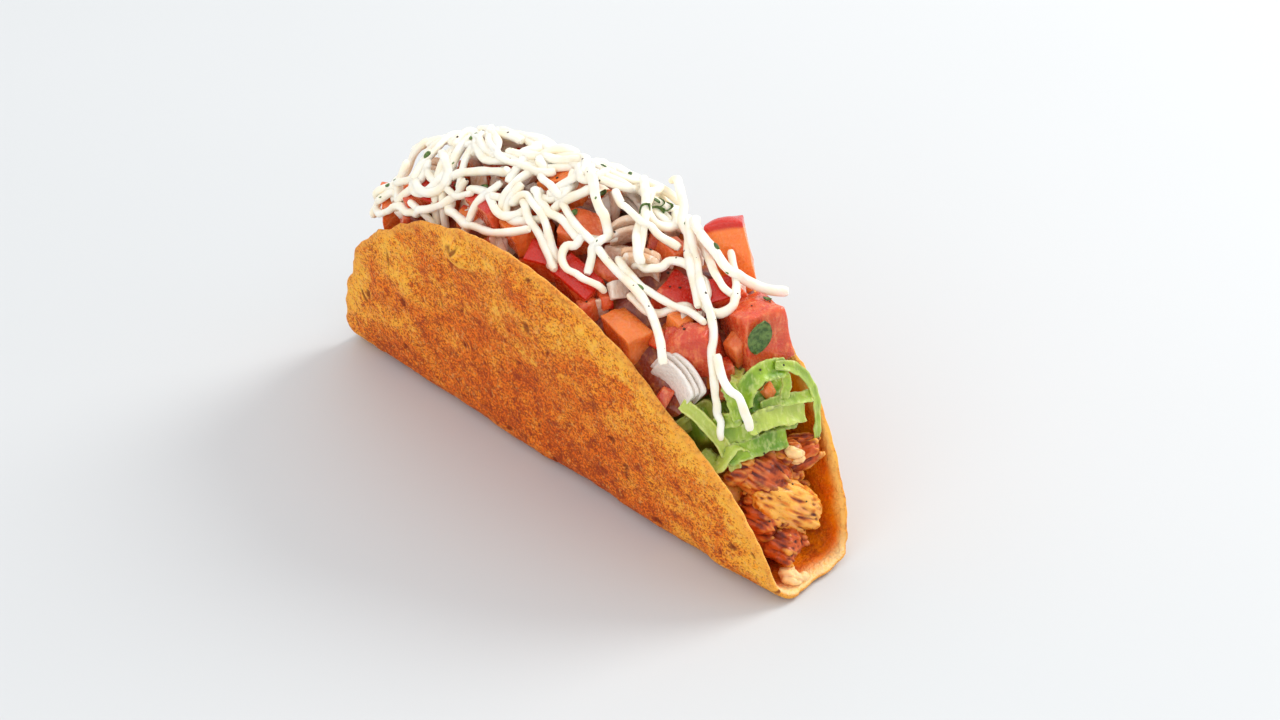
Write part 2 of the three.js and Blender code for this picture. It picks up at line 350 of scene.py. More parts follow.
def tortillaMesh():
    bm = flatTortilla()
    blisters, tree = layBlisters()
    marks = {"facing": [], "edge": [], "puff": [], "pit": []}
    for v in bm.verts:
        x, across, depth = v.co
        share = depth / shell["thickness"]
        outer = share < 0.5
        angle = math.atan2(across, x)
        radius = math.hypot(x, across)
        nearRim = smooth(radius / shell["radius"], 0.55, 1.0)
        ragged = layered((x, across, 0), shell["ragged"]) * (mm * nearRim ** 3)
        stretch = rimRadius(angle) / shell["radius"] + ragged / shell["radius"]
        x, across = x * stretch, across * stretch
        spot = Vector((x, across, 0))
        free = smooth(abs(across), 4 * mm, 14 * mm)         # the strip it stands on stays flat
        puff = 0.0
        for place, i, distance in tree.find_range(spot, 8 * mm):
            size, height = blisters[i][2:]
            puff += height * (1 - smooth(distance, 0.15 * size, size))
        swell = layered(spot, shell["swell"])
        pit = pitAt(x, across, spot)
        relief = (layered(spot, shell["skin"]) - pit) * mm * (1 if outer else 0.7)
        outward = free * (swell * mm + relief + puff)
        thin = 1 + 0.16 * wobble(spot, 18 * mm, 14) + 0.12 * nearRim * wobble(spot, 6 * mm, 15)
        thin -= 0.36 * nearRim ** 4
        depth = shell["thickness"] / 2 + (share - 0.5) * shell["thickness"] * thin
        depth -= free * swell * mm                                  # both faces move together
        depth -= (outward - free * swell * mm) * (1 if outer else -0.35)
        v.co = fold(x, across, depth)
        v.co.z = max(v.co.z, 0)
        marks["facing"].append(share)
        marks["edge"].append((shell["radius"] - radius) / mm)
        marks["puff"].append(puff / mm)
        marks["pit"].append(pit)
    mesh = meshOf("tortilla", bm)
    for name, values in marks.items():
        setAttribute(mesh, name, values)
    return mesh


def tortillaFinish():
    finish = Finish("friedTortilla", Specular_IOR_Level=0.22, Subsurface_Weight=0.1,
                    Subsurface_Scale=0.0012, Subsurface_Radius=(1.0, 0.45, 0.15))
    height = finish.node("ShaderNodeSeparateXYZ", None, {"Vector": finish.place}, output="Z")
    length = finish.node("ShaderNodeSeparateXYZ", None, {"Vector": finish.place}, output="X")
    inside = finish.attribute("facing").fade(0.5, 0.85)
    edge = finish.attribute("edge")                     # mm in from the rim
    patches = finish.grain(0.013, 3.0, 0.55)
    blotches = finish.grain(0.0048, 3.0, 0.6)
    clumps = finish.grain(0.0026, 3.0, 0.6)
    fine = finish.grain(0.0010, 3.0, 0.65)
    dots = finish.grain(0.00055, 2.0, 0.6)
    low = 1 - height.fade(0.004, 0.055)
    toast = patches * 0.9 + blotches * 0.55 + low * 0.16 + edge.fade(1.5, 10) * 0.12 - 0.3
    toast = toast - finish.attribute("puff").fade(0.2, 0.9) * 0.1 - length.fade(0.01, 0.07) * 0.24
    toast = toast - (1 - length.fade(-0.075, -0.03)) * 0.18
    # golden dough, then orange seasoning, then red-brown grains where it is toasted
    dough = finish.blend(clumps.fade(0.35, 0.65), *shell["dough"])
    seasoned = finish.blend(toast.fade(0.3, 0.7), dough, shell["seasoning"])
    grains = (fine + toast * 0.36).fade(0.64, 0.78)
    seasoned = finish.blend(grains * 0.7, seasoned, shell["grains"])
    specks = (dots + clumps * 0.3 + toast * 0.26).fade(0.79, 0.86)
    seasoned = finish.blend(specks * 0.72, seasoned, shell["dots"])
    clots = (clumps + fine * 0.4 + toast * 0.3).fade(0.98, 1.06)
    seasoned = finish.blend(clots * 0.55, seasoned, shell["clots"])
    bare = (finish.grain(0.0012, 3.0, 0.6) - toast * 0.15).fade(0.46, 0.6)
    seasoned = finish.blend(bare * 0.45, seasoned, shell["bare"])
    rim = 1 - (edge + blotches * 2.4).fade(1.6, 3.6)
    seasoned = finish.blend(rim * 0.5, seasoned, shell["rim"])
    seasoned = finish.blend(finish.attribute("pit").fade(0.03, 0.3) * 0.8, seasoned, shell["burnt"])
    # the inner face is wet with orange sauce
    sauce = finish.blend(blotches.fade(0.3, 0.7), *shell["sauce"])
    sauce = finish.blend(fine.fade(0.62, 0.74) * 0.35, sauce, shell["sauceGrains"])
    pooled = (1 - height.fade(0.003, 0.011)) * blotches.fade(0.36, 0.56) * edge.fade(3, 7)
    sauce = finish.blend(pooled * 0.8, sauce, shell["pooledSauce"])
    sauce = finish.blend(1 - (edge + blotches * 3).fade(1.8, 5.2), sauce, shell["innerRim"])
    dry = length.fade(0.0705, 0.075) * (1 - height.fade(0.004, 0.01)) * (fine + 0.2).fade(0.4, 0.8)
    sauce = finish.blend(dry * 0.9, sauce, shell["dryTip"])
    colour = finish.blend(inside, seasoned, sauce)
    relief = fine * 0.7 + dots * 0.5 + clumps * 0.9 + grains * 0.25
    finish.feed(Base_Color=colour, Roughness=0.72 - inside * 0.3, Normal=finish.bump(relief, 0.0006, 0.8))
    return finish.material


tortilla = dress("tortillaShell", tortillaMesh(), tortillaFinish(), ["tortilla_shell"])
print("tortilla shell folded", len(tortilla.data.polygons), "faces")


chicken = {
    "pieceVoxel": 0.34 * mm,
    "shredVoxel": 0.36 * mm,
    "crumbVoxel": 0.3 * mm,
    "fillingVoxel": 0.9 * mm,
    "fibreDepth": 0.75 * mm,
    "shreds": 48,
    "shredHeights": (6, 29),   # where the shreds lie at the mouths, in mm
    "shredPlaces": (56, 62),
    "shredSpread": (4, 6),     # to each side at the bottom, and how much more higher up
    "shredFan": 4.5,           # how much further out they lie at the bottom
    # pale crumbs at the tip of the fold and by the far wall: where each lies and its size, in mm
    "crumbs": [(72.6, -5.2, 3.6, 1.7), (74.3, -4.2, 3.5, 1.4), (73.6, -6.1, 3.9, 1.3), (71, -3.2, 3.5, 1.1),
               (74.8, -2.2, 3.3, 1.0), (65.2, 3.2, 30.6, 1.9), (65, 4.8, 28, 1.3)],
    "sauced": [srgb(124, 36, 8), srgb(204, 86, 24)],
    "golden": [srgb(226, 122, 22), srgb(248, 182, 74)],
    # pale colour painted along the fibres as a highlight
    "paintedHighlight": srgb(242, 160, 100),
    "crumb": srgb(254, 222, 170),
    # dark colour painted into crevices as shade
    "creviceShade": srgb(92, 24, 8),
    "specks": srgb(80, 28, 14),
}


def fibreBundle(bm, middle, half, turn, draw, count):
    # a torn piece of meat: thick fibres side by side, each a little turned, bent and shifted
    place = Matrix.Translation(middle) @ turn.to_matrix().to_4x4()
    bulk = 1 + min(half.y, half.z) / (8 * mm)
    for i in range(count):
        angle, out = draw.uniform(0, 2 * math.pi), draw.uniform(0.4, 0.78)
        slip = draw.uniform(-0.25, 0.25) * half.x
        shift = Vector((slip, out * math.cos(angle) * half.y, out * math.sin(angle) * half.z))
        thick = draw.uniform(0.8, 1.3) * mm * bulk * min(1, 13 / count)
        lean = Euler([draw.uniform(-most, most) for most in (0.3, 0.18, 0.18)]).to_matrix().to_4x4()
        size = scaled(half.x * draw.uniform(0.6, 0.95), thick * draw.uniform(1, 1.6), thick)
        fibre = Matrix.Translation(shift) @ lean @ size
        made = bmesh.ops.create_icosphere(bm, subdivisions=3, radius=1, matrix=fibre)
        bow = draw.uniform(-0.12, 0.12) / half.x
        for v in made["verts"]:
            v.co.z += bow * v.co.x ** 2
            v.co = place @ v.co
    solid = 0.97 if count < 10 else 0.9
    core = scaled(half.x * solid, half.y * solid, half.z * solid)
    bmesh.ops.create_icosphere(bm, subdivisions=3, radius=1, matrix=place @ core)


def hollows(mesh, rounds):
    # how deep each point lies in a crevice, in mm: above 0 in it, below 0 on a ridge; the chicken finish
    # paints shade with it
    count = len(mesh.vertices)
    places = np.empty(count * 3)
    mesh.vertices.foreach_get("co", places)
    places = places.reshape(-1, 3)
    normals = np.empty(count * 3)
    mesh.vertex_normals.foreach_get("vector", normals)
    edges = np.empty(len(mesh.edges) * 2, int)
    mesh.edges.foreach_get("vertices", edges)
    a, b = edges.reshape(-1, 2).T
    ends = np.concatenate([a, b])
    others = np.concatenate([b, a])
    degree = np.maximum(np.bincount(ends, minlength=count), 1)
    evened = places.copy()
    for turn in range(rounds):
        sums = [np.bincount(ends, evened[others, k], count) for k in range(3)]
        evened = np.stack(sums, 1) / degree[:, None]
    return ((evened - places) * normals.reshape(-1, 3)).sum(1) / mm


def tornMeat(name, bm, turn, seed, voxel, golden=0.0, nodes=()):
    # merges the fibres into one skin, with fine ridges along them; turn is the way they run
    mesh = applied(name, bm, ("REMESH", {"mode": "VOXEL", "voxel_size": voxel}))
    bm = bmesh.new()
    bm.from_mesh(mesh)
    bmesh.ops.smooth_vert(bm, verts=bm.verts, factor=0.5, use_axis_x=True, use_axis_y=True, use_axis_z=True)
    bm.normal_update()
    back = turn.to_matrix().inverted()
    streaks = []
    for v in bm.verts:
        own = back @ v.co
        fibre = Vector((own.x / 5, own.y, own.z))           # drawn out along the fibres
        ridge = 1 - 2 * abs(wobble(fibre, 1.1 * mm, seed))
        fine = wobble(fibre, 0.7 * mm, seed + 3)
        tear = wobble(own, 3 * mm, seed + 7)
        streaks.append(0.5 + 0.35 * ridge * 0.5 + 0.45 * wobble(fibre, 0.9 * mm, seed + 11))
        v.co += v.normal * (0.5 * ridge + 0.3 * fine + 0.6 * tear) * chicken["fibreDepth"]
    made = meshOf(name, bm)
    setAttribute(made, "hollow", hollows(made, 14))
    setAttribute(made, "golden", [golden] * len(made.vertices))
    setAttribute(made, "streak", streaks)
    return dress(name, made, chickenSkin, nodes)


def chickenFinish():
    finish = Finish("saucedChicken", Specular_IOR_Level=0.35, Coat_Weight=0.12, Coat_Roughness=0.12,
                    Subsurface_Weight=0.12, Subsurface_Scale=0.0015, Subsurface_Radius=(1.0, 0.35, 0.12))
    hollow = finish.attribute("hollow")
    golden = finish.attribute("golden")
    streak = finish.attribute("streak")
    patches = finish.grain(0.0035, 3.0, 0.6)
    fine = finish.grain(0.0009, 3.0, 0.6)
    sauced = finish.blend((patches + streak * 0.5 - 0.25).fade(0.36, 0.66), *chicken["sauced"])
    bright = finish.blend((streak + fine * 0.4).fade(0.5, 0.9), *chicken["golden"])
    broad = finish.grain(0.006, 2.0, 0.5)
    # the hollow term paints shade: meat deep in crevices is kept from the golden colour
    share = broad * 0.8 + patches * 0.3 + streak * 0.2 + golden * 0.65 - hollow * 0.6
    meat = finish.blend(share.fade(0.56, 1.1), sauced, bright)
    # painted highlight: a pale colour along the fibre streaks where the meat is golden, standing in for
    # glints of light
    paintedHighlight = streak.fade(0.66, 0.84) * (golden + 0.4).fade(0, 0.6)
    meat = finish.blend(paintedHighlight * 0.5, meat, chicken["paintedHighlight"])
    meat = finish.blend((golden - 0.7).fade(0, 0.4) * 0.6, meat, chicken["crumb"])
    # painted shade: crevices darkened to a deep brown, in place of the shadow they hold
    creviceShade = (hollow + fine * 0.12 - streak * 0.16).fade(-0.04, 0.26)
    meat = finish.blend(creviceShade, meat, chicken["creviceShade"])
    specks = finish.grain(0.0008, 2.0, 0.5).fade(0.69, 0.73)
    meat = finish.blend(specks * 0.6, meat, chicken["specks"])
    finish.feed(Base_Color=meat, Roughness=0.24 + fine * 0.3, Normal=finish.bump(fine, 0.0003, 0.5))
    return finish.material


chickenSkin = chickenFinish()
# half-lengths in mm, how the fibres run, how golden it is, and how many fibres it has
chunks = {
    1: ((10.8, 4.4, 6), (-0.67, 0, 1.35), 0.44, 7),
    2: ((8.5, 7, 4.8), (0.1, 0.5, 0.4), -0.14, 26),
    3: ((7, 4, 4.2), (0.5, -0.2, 0.9), -0.2, 20),
    4: ((6.6, 5.6, 4.6), (0, 0.2, 0.3), -0.36, 24),
    5: ((6, 3.2, 5.2), (0.2, 0.1, 0.2), -0.22, 16),
    6: ((8, 6, 5), (0.3, -0.4, 0.4), 0.2, 18),
    7: ((7.5, 6, 4.2), (0.1, -0.3, -0.5), 0.0, 20),
    8: ((5, 5, 3.6), (0, 0.2, 0.1), 0.1, 16),
}
for number, (half, turn, golden, fibres) in chunks.items():
    node = f"chicken_piece_{number}"
    low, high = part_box(node)
    draw = random.Random(100 + number)
    bm = bmesh.new()
    turn = Euler(turn, "ZYX")
    fibreBundle(bm, (low + high) / 2, Vector(half) * mm, turn, draw, fibres)
    tornMeat(f"chickenPiece{number}", bm, turn, 10 * number, chicken["pieceVoxel"], golden, [node])

low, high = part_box("chicken_filling")
draw = random.Random(41)
bm = bmesh.new()
for x in np.arange(low.x + 6 * mm, high.x - 3 * mm, 5 * mm):
    for y in (-0.22, 0.22):
        half = Vector((6.5, 6.0, 8.5)) * mm
        middleY = y * (high.y - low.y) + draw.uniform(-1, 1) * mm
        middleZ = (low.z + high.z) / 2 + draw.uniform(-1, 1) * mm
        lump = Matrix.Translation((x, middleY, middleZ)) @ scaled(*half)
        bmesh.ops.create_icosphere(bm, subdivisions=2, radius=1, matrix=lump)
tornMeat("chickenFilling", bm, Euler((0, 0.2, 0.3)), 7, chicken["fillingVoxel"], nodes=["chicken_filling"])

# smaller shreds that fill both mouths between the large pieces
bm = bmesh.new()
for i in range(chicken["shreds"]):
    side = 1 if i % 3 else -1
    z = draw.uniform(*chicken["shredHeights"])
    spread = chicken["shredSpread"][0] + chicken["shredSpread"][1] * smooth(z, 4, 14)
    x = side * (draw.uniform(*chicken["shredPlaces"]) + chicken["shredFan"] * (1 - smooth(z, 6, 20)))
    middle = Vector((x, draw.uniform(-spread, spread), z)) * mm
    turn = Euler((draw.uniform(-0.6, 0.6), draw.uniform(-0.9, 0.9), draw.uniform(-0.5, 1.6)), "ZYX")
    half = Vector((draw.uniform(3.5, 6), draw.uniform(1.2, 2.2), draw.uniform(1.2, 2))) * mm
    fibreBundle(bm, middle, half, turn, draw, 4)
tornMeat("chickenShreds", bm, Euler((0, 0.3, 0.8)), 3, chicken["shredVoxel"], -0.16)

bm = bmesh.new()
for x, y, z, size in chicken["crumbs"]:
    turn = Euler((draw.uniform(-0.4, 0.4), draw.uniform(-0.4, 0.4), draw.uniform(0, 3)), "ZYX")
    fibreBundle(bm, Vector((x, y, z)) * mm, Vector((size, size * 0.7, size * 0.55)) * mm, turn, draw, 2)
tornMeat("chickenCrumbs", bm, Euler((0, 0, 0.5)), 5, chicken["crumbVoxel"], 1.2)
print("chicken torn and sauced")


salsa = {
    "shoulder": 40.0,          # the bed of salsa of the frame, in mm
    "crown": 25.0,
    "reach": 70.0,
    "lean": 0.55,              # how steeply it leans to the near wall at the mouth
    "fall": 0.12,
    "coreInset": 1.8,
    "coreBase": 42.0,
    "tomatoBits": {"count": 150, "sizes": [(3.5, 7.5), (3, 6.5), (2.5, 5)], "seed": 21, "depth": (-1.5, 0.8)},
    "onionBits": {"count": 110, "sizes": [(3.5, 7), (2.5, 5.5), (1.3, 2.4)], "seed": 22, "depth": (-1, 1.2)},
    "across": (-16, 17),       # where the chopped bits lie, in mm
    "farAcross": (11, 17),
    "ends": (47, 51),
    "lowest": 42,
    "mouth": 43,               # beyond this they lie only in the middle, between these two
    "mouthMiddle": (-7, 9),
    "strayTomato": (56.6, 3.2, 43.4, 3.8),     # a bit in the gap of the lettuce: its place and its size
    # cut flesh from one tint to the other, then its streaks and its fine grain
    "tomato": [srgb(250, 134, 58), srgb(210, 70, 44), srgb(246, 146, 92), srgb(248, 176, 122)],
    "tomatoSkin": srgb(204, 40, 22),
    "onion": [srgb(250, 240, 228), srgb(232, 184, 146), srgb(252, 246, 238), srgb(255, 252, 246)],
    "mash": [srgb(150, 62, 34), srgb(120, 38, 22), srgb(190, 116, 52), srgb(92, 78, 26)],
}
salsaLow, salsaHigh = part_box("salsa_bed")


def unevenness(x, y, z):
    long = math.sin(0.21 * x + 1.3 * math.sin(0.17 * y + 0.6) + 0.4)
    cross = math.sin(0.33 * y - 0.23 * x + 0.29 * z + 1.1)
    return 0.45 * long + 0.35 * cross + 0.2 * math.sin(0.52 * x + 0.61 * y + 0.47 * z)


def salsaTop(x, y):
    # height of the bed of salsa above a place given in mm
    arch = math.sqrt(max(1 - (x / salsa["reach"]) ** 2, 0))
    lean = salsa["lean"] * min(max((x + 40) / 85, 0), 1)
    fall = salsa["fall"] * max(x - 18, 0)
    curve = (0.02 if y < 0 else 0.03) * y * y
    return salsa["shoulder"] + salsa["crown"] * arch + lean * y - fall - curve + 1.2 * unevenness(x, y, 21)


def wetFinish(name, colours, roughness, subsurface, radius, skinColour=None):
    finish = Finish(name, Specular_IOR_Level=0.4, Coat_Weight=0.35, Coat_Roughness=0.07,
                    Subsurface_Weight=subsurface, Subsurface_Scale=0.004, Subsurface_Radius=radius)
    tint = finish.attribute("tint")
    veins = finish.grain(0.003, 3.0, 0.6)
    streaks = finish.grain(0.0018, 3.0, 0.6, (1, 1, 0.35))
    fine = finish.grain(0.0009, 2.0, 0.6)
    flesh = finish.blend(tint + (veins - 0.5) * 0.9, *colours[:2])
    flesh = finish.blend(streaks.fade(0.48, 0.7) * 0.7, flesh, colours[2])
    flesh = finish.blend(fine.fade(0.6, 0.75) * 0.4, flesh, colours[3])
    if skinColour:
        flesh = finish.blend(finish.attribute("skin").fade(0.3, 0.8), flesh, skinColour)
    relief = finish.bump(fine + streaks * 0.8, 0.0005, 0.6)
    finish.feed(Base_Color=flesh, Roughness=roughness + fine * 0.18, Normal=relief)
    return finish.material


tomatoFlesh = wetFinish("tomatoFlesh", salsa["tomato"], 0.18, 0.35, (1.0, 0.28, 0.12), salsa["tomatoSkin"])
onionFlesh = wetFinish("onionFlesh", salsa["onion"], 0.18, 0.25, (1.0, 0.8, 0.65))
mashFlesh = wetFinish("salsaMash", salsa["mash"], 0.25, 0.2, (1.0, 0.4, 0.2))


def diceMesh(draw, jitter=0.17, bevel=0.07, cuts=2):
    # a knife-cut cube two units wide, a bit out of square, its top bulging as the skin side
    cube = bmesh.new()
    skin = cube.verts.layers.float.new("skin")
    bmesh.ops.create_cube(cube, size=2)
    for v in cube.verts:
        v.co += Vector([draw.uniform(-jitter, jitter) for k in range(3)])
    bmesh.ops.bevel(cube, geom=cube.edges[:], offset=bevel, offset_type="OFFSET", segments=2, profile=0.5,
                    affect="EDGES", material=-1)
    if cuts:
        long = [e for e in cube.edges if e.calc_length() > 0.8]
        bmesh.ops.subdivide_edges(cube, edges=long, cuts=cuts, use_grid_fill=True)
    for v in cube.verts:
        v[skin] = smooth(v.co.z, 0.75, 0.95)
        if v.co.z > 0:
            v.co.z += 0.16 * max(1 - v.co.x ** 2, 0) * max(1 - v.co.y ** 2, 0)
    return meshOf("dice", cube)


def drop(bm, mesh, matrix, **marks):
    # adds a placed copy of a mesh and marks its points for the material
    known = len(bm.verts)
    bm.from_mesh(mesh)
    bm.verts.ensure_lookup_table()
    fresh = bm.verts[known:]
    bmesh.ops.transform(bm, matrix=matrix, verts=fresh)
    for name, value in marks.items():
        layer = bm.verts.layers.float[name]
        for v in fresh:
            v[layer] = v[layer] * value if name == "skin" else value
    return fresh


# side lengths in mm, turn, tint from orange to red, whether its top side is skin
tomatoes = {
    1: ((13, 11, 13), (0.1, -0.2, -0.25), 0.85, 0),
    2: ((9, 6, 18), (0.06, -0.27, 0.75), 0.0, 1),
    3: ((11, 6, 12), (0.29, -0.28, 0.6), 0.95, 0),
    4: ((11, 7, 8), (0.2, 0.1, -0.2), 0.05, 0),
    5: ((11, 7, 9), (0.4, 0.2, -0.1), 0.9, 1),
    6: ((10, 9, 8), (0.2, -0.3, 0.5), 0.15, 0),
    7: ((12, 10, 8), (-0.1, 0.3, 0.4), 1.0, 1),
    8: ((9, 7, 7), (0.4, 0.2, 0.9), 0.8, 1),
    9: ((10, 8, 8), (0.2, 0.3, 0.6), 0.6, 0),
    10: ((8, 6, 8), (0.3, 0.2, 0.4), 0.7, 1),
    11: ((9, 6, 7), (0.2, -0.1, -0.3), 0.2, 0),
    12: ((11, 6, 6), (0.3, -0.2, -0.2), 0.8, 1),
    13: ((11, 7, 6), (0.4, 0.1, 0.2), 0.8, 1),
    14: ((9, 8, 8), (0.2, 0.3, 0.8), 0.5, 0),
    15: ((10, 9, 8), (0.3, -0.4, 0.3), 0.5, 1),
}
onions = {
    1: ((13, 4, 9), (0.1, 0.6, 0), 0.0, 0),
    2: ((10, 4, 8), (0.3, 0.2, 0.5), 0.9, 0),
    3: ((9, 4, 8), (0.5, 0.3, 0.9), 0.7, 0),
    4: ((9, 5, 8), (0.5, 0.1, 0.3), 0.8, 0),
    5: ((9, 3.5, 7), (1.1, 0.2, -0.4), 0.2, 0),
}


def petalMesh(draw, layers):
    # a cut of onion two units wide: curved layers, each slipped a little from the next
    stack = bmesh.new()
    stack.verts.layers.float.new("skin")
    for k in range(layers):
        middle = (2 * k + 1) / layers - 1
        slip = Vector((draw.uniform(-0.12, 0.12), 0, draw.uniform(-0.16, 0.16)))
        reach = Vector((draw.uniform(0.86, 1.0), 0.8 / layers, draw.uniform(0.84, 1.0)))
        lean = draw.uniform(-0.12, 0.12)
        known = len(stack.verts)
        stack.from_mesh(diceMesh(draw, 0.06, 0.16, 6))
        stack.verts.ensure_lookup_table()
        for v in stack.verts[known:]:
            x, y, z = v.co
            bow = 0.55 * (0.4 - x * x) + lean * z
            v.co = Vector((x * reach.x, middle + y * reach.y + bow, z * reach.z)) + slip
    return meshOf("petals", stack)


def bigDice(kind, table, material):
    for number, (sides, turn, tint, skinned) in table.items():
        node = f"{kind}_dice_{number}"
        draw = random.Random(700 + number)
        low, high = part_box(node)
        place = Matrix.Translation((low + high) / 2) @ Euler(turn, "ZYX").to_matrix().to_4x4()
        place = place @ scaled(*(s / 2 * mm for s in sides))
        bm = bmesh.new()
        skin = bm.verts.layers.float.new("skin")
        bm.verts.layers.float.new("tint")
        mesh = diceMesh(draw, cuts=7) if kind == "tomato" else petalMesh(draw, 3 if number == 1 else 2)
        drop(bm, mesh, place, skin=skinned, tint=tint)
        bm.normal_update()
        rough = 1.0 if kind == "tomato" else 0.35
        for v in bm.verts:
            cut = wobble(v.co, 4.5 * mm, number) * 0.6 + wobble(v.co, 1.6 * mm, number + 4) * 0.22
            v.co += v.normal * cut * mm * rough * (1 - 0.7 * v[skin])
        newPiece(f"{kind}Dice{number}", bm, material, [node])


bigDice("tomato", tomatoes, tomatoFlesh)
bigDice("onion", onions, onionFlesh)
print("large dice cut")


def lumpyCore(name, cuts, shapeOf, marks, material, nodes=()):
    # the closed body under a heap: a cube two units wide whose points shapeOf sends to their places
    bm = bmesh.new()
    bmesh.ops.create_cube(bm, size=2)
    bmesh.ops.subdivide_edges(bm, edges=bm.edges, cuts=cuts, use_grid_fill=True)
    for v in bm.verts:
        v.co = shapeOf(*v.co)
    bmesh.ops.recalc_face_normals(bm, faces=bm.faces)
    core = newPiece(name, bm, material, nodes)
    for mark, valueAt in marks.items():
        setAttribute(core.data, mark, [valueAt(v.co) for v in core.data.vertices])


def salsaCoreShape(x, y, z):
    halfLong = (salsaHigh.x - salsaLow.x) / 2 - 3 * mm
    px = (salsaLow.x + salsaHigh.x) / 2 + x * halfLong * (1 - 0.08 * (y * y + z * z) / 2)
    py = y * (13.5 * mm + 0.075 * (z + 1) * 20 * mm)
    top = salsaTop(px / mm, py / mm) * mm - salsa["coreInset"] * mm
    base = salsa["coreBase"] * mm
    spot = Vector((px, py, base + (top - base) * (z + 1) / 2))
    rise = Vector((0, 0, 1.3 * mm * wobble(spot, 5 * mm, 3) * (z + 1) / 2))
    return spot + rise + Vector((wobble(spot, 6 * mm, 8), wobble(spot, 5 * mm, 6), 0)) * mm


mashMarks = {"tint": lambda place: wobble(place, 7 * mm, 2) + 0.5, "skin": lambda place: 0}
lumpyCore("salsaCore", 30, salsaCoreShape, mashMarks, mashFlesh, ["salsa_bed"])
bigBoxes = [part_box(f"tomato_dice_{i}") for i in tomatoes] + [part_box(f"onion_dice_{i}") for i in onions]


def clearOfDice(spot):
    for boxLow, boxHigh in bigBoxes:
        middle, half = (boxLow + boxHigh) / 2, (boxHigh - boxLow) / 2
        if all(abs(spot[k] - middle[k]) < half[k] * 0.8 for k in range(3)):
            return False
    return True


def chopped(name, material, bits, strays=()):
    # small chopped bits strewn over the bed
    draw = random.Random(bits["seed"])
    bm = bmesh.new()
    bm.verts.layers.float.new("skin")
    bm.verts.layers.float.new("tint")
    kinds = [diceMesh(draw, 0.22, 0.2, 0) for k in range(12)]
    for i in range(bits["count"]):
        x = draw.uniform(salsaLow.x / mm + 1, salsaHigh.x / mm - 1)
        y = draw.uniform(*salsa["farAcross" if i % 4 == 1 else "across"])
        z = salsaTop(x, y) + draw.uniform(*bits["depth"])
        if y > 13 or i % 5 == 0:
            z -= draw.uniform(0, 7)
        if i % 7 == 0:                                  # some show at the two ends
            x = math.copysign(draw.uniform(*salsa["ends"]), x)
            z = draw.uniform(salsa["lowest"], salsaTop(x, y))
        if x > salsa["mouth"] and not salsa["mouthMiddle"][0] < y < salsa["mouthMiddle"][1]:
            continue
        spot = Vector((x, y, z)) * mm
        turn = anyTurn(draw)
        scale = scaled(*(draw.uniform(*side) / 2 * mm for side in bits["sizes"]))
        tint, skinned = draw.random(), float(draw.random() < 0.35)
        if clearOfDice(spot):
            place = Matrix.Translation(spot) @ turn @ scale
            drop(bm, draw.choice(kinds), place, skin=skinned, tint=tint)
    for x, y, z, size in strays:
        turn = anyTurn(draw)
        scale = scaled(size * 0.6 * mm, size * 0.45 * mm, size * 0.35 * mm)
        place = Matrix.Translation(Vector((x, y, z)) * mm) @ turn @ scale
        drop(bm, draw.choice(kinds), place, skin=0, tint=draw.random() * 0.3)
    newPiece(name, bm, material)


chopped("choppedTomato", tomatoFlesh, salsa["tomatoBits"], [salsa["strayTomato"]])
chopped("choppedOnion", onionFlesh, salsa["onionBits"])
print("salsa chopped")


lettuce = {
    "thick": 0.36 * mm,
    "strips": 46,              # besides the ones listed at the mouth
    "steps": 36,               # along one shred
    "coreHalf": 52 * mm,
    "places": (38, 59),        # where the shreds lie at the two mouths, in mm
    "spread": (-12, 12),
    "heights": (29, 40),
    "mouthRise": 3,
    "runs": (4, 8),
    "widths": (3.2, 5.6),
    "furthest": 62,
    "widest": 14,
    "leaf": [srgb(92, 140, 12), srgb(150, 186, 42)],
    "pale": srgb(208, 218, 108),
    "edges": srgb(228, 234, 156),
}


def lettuceFinish():
    finish = Finish("lettuceLeaf", Specular_IOR_Level=0.4, Coat_Weight=0.15, Coat_Roughness=0.2,
                    Subsurface_Weight=0.4, Subsurface_Scale=0.002, Subsurface_Radius=(0.7, 1.0, 0.15))
    across = finish.attribute("across")
    pale = finish.attribute("pale")
    ribs = finish.grain(0.0012, 3.0, 0.6, (1, 1, 0.3))
    patches = finish.grain(0.005, 2.0, 0.5)
    leaf = finish.blend(patches.fade(0.35, 0.65), *lettuce["leaf"])
    leaf = finish.blend(pale, leaf, lettuce["pale"])
    light = across.fade(0.6, 1.0) * 0.7 + ribs.fade(0.5, 0.7)
    leaf = finish.blend(light * 0.4, leaf, lettuce["edges"])
    relief = finish.bump(ribs + patches, 0.0005, 0.6)
    finish.feed(Base_Color=leaf, Roughness=0.3 + ribs * 0.16, Normal=relief)
    return finish.material


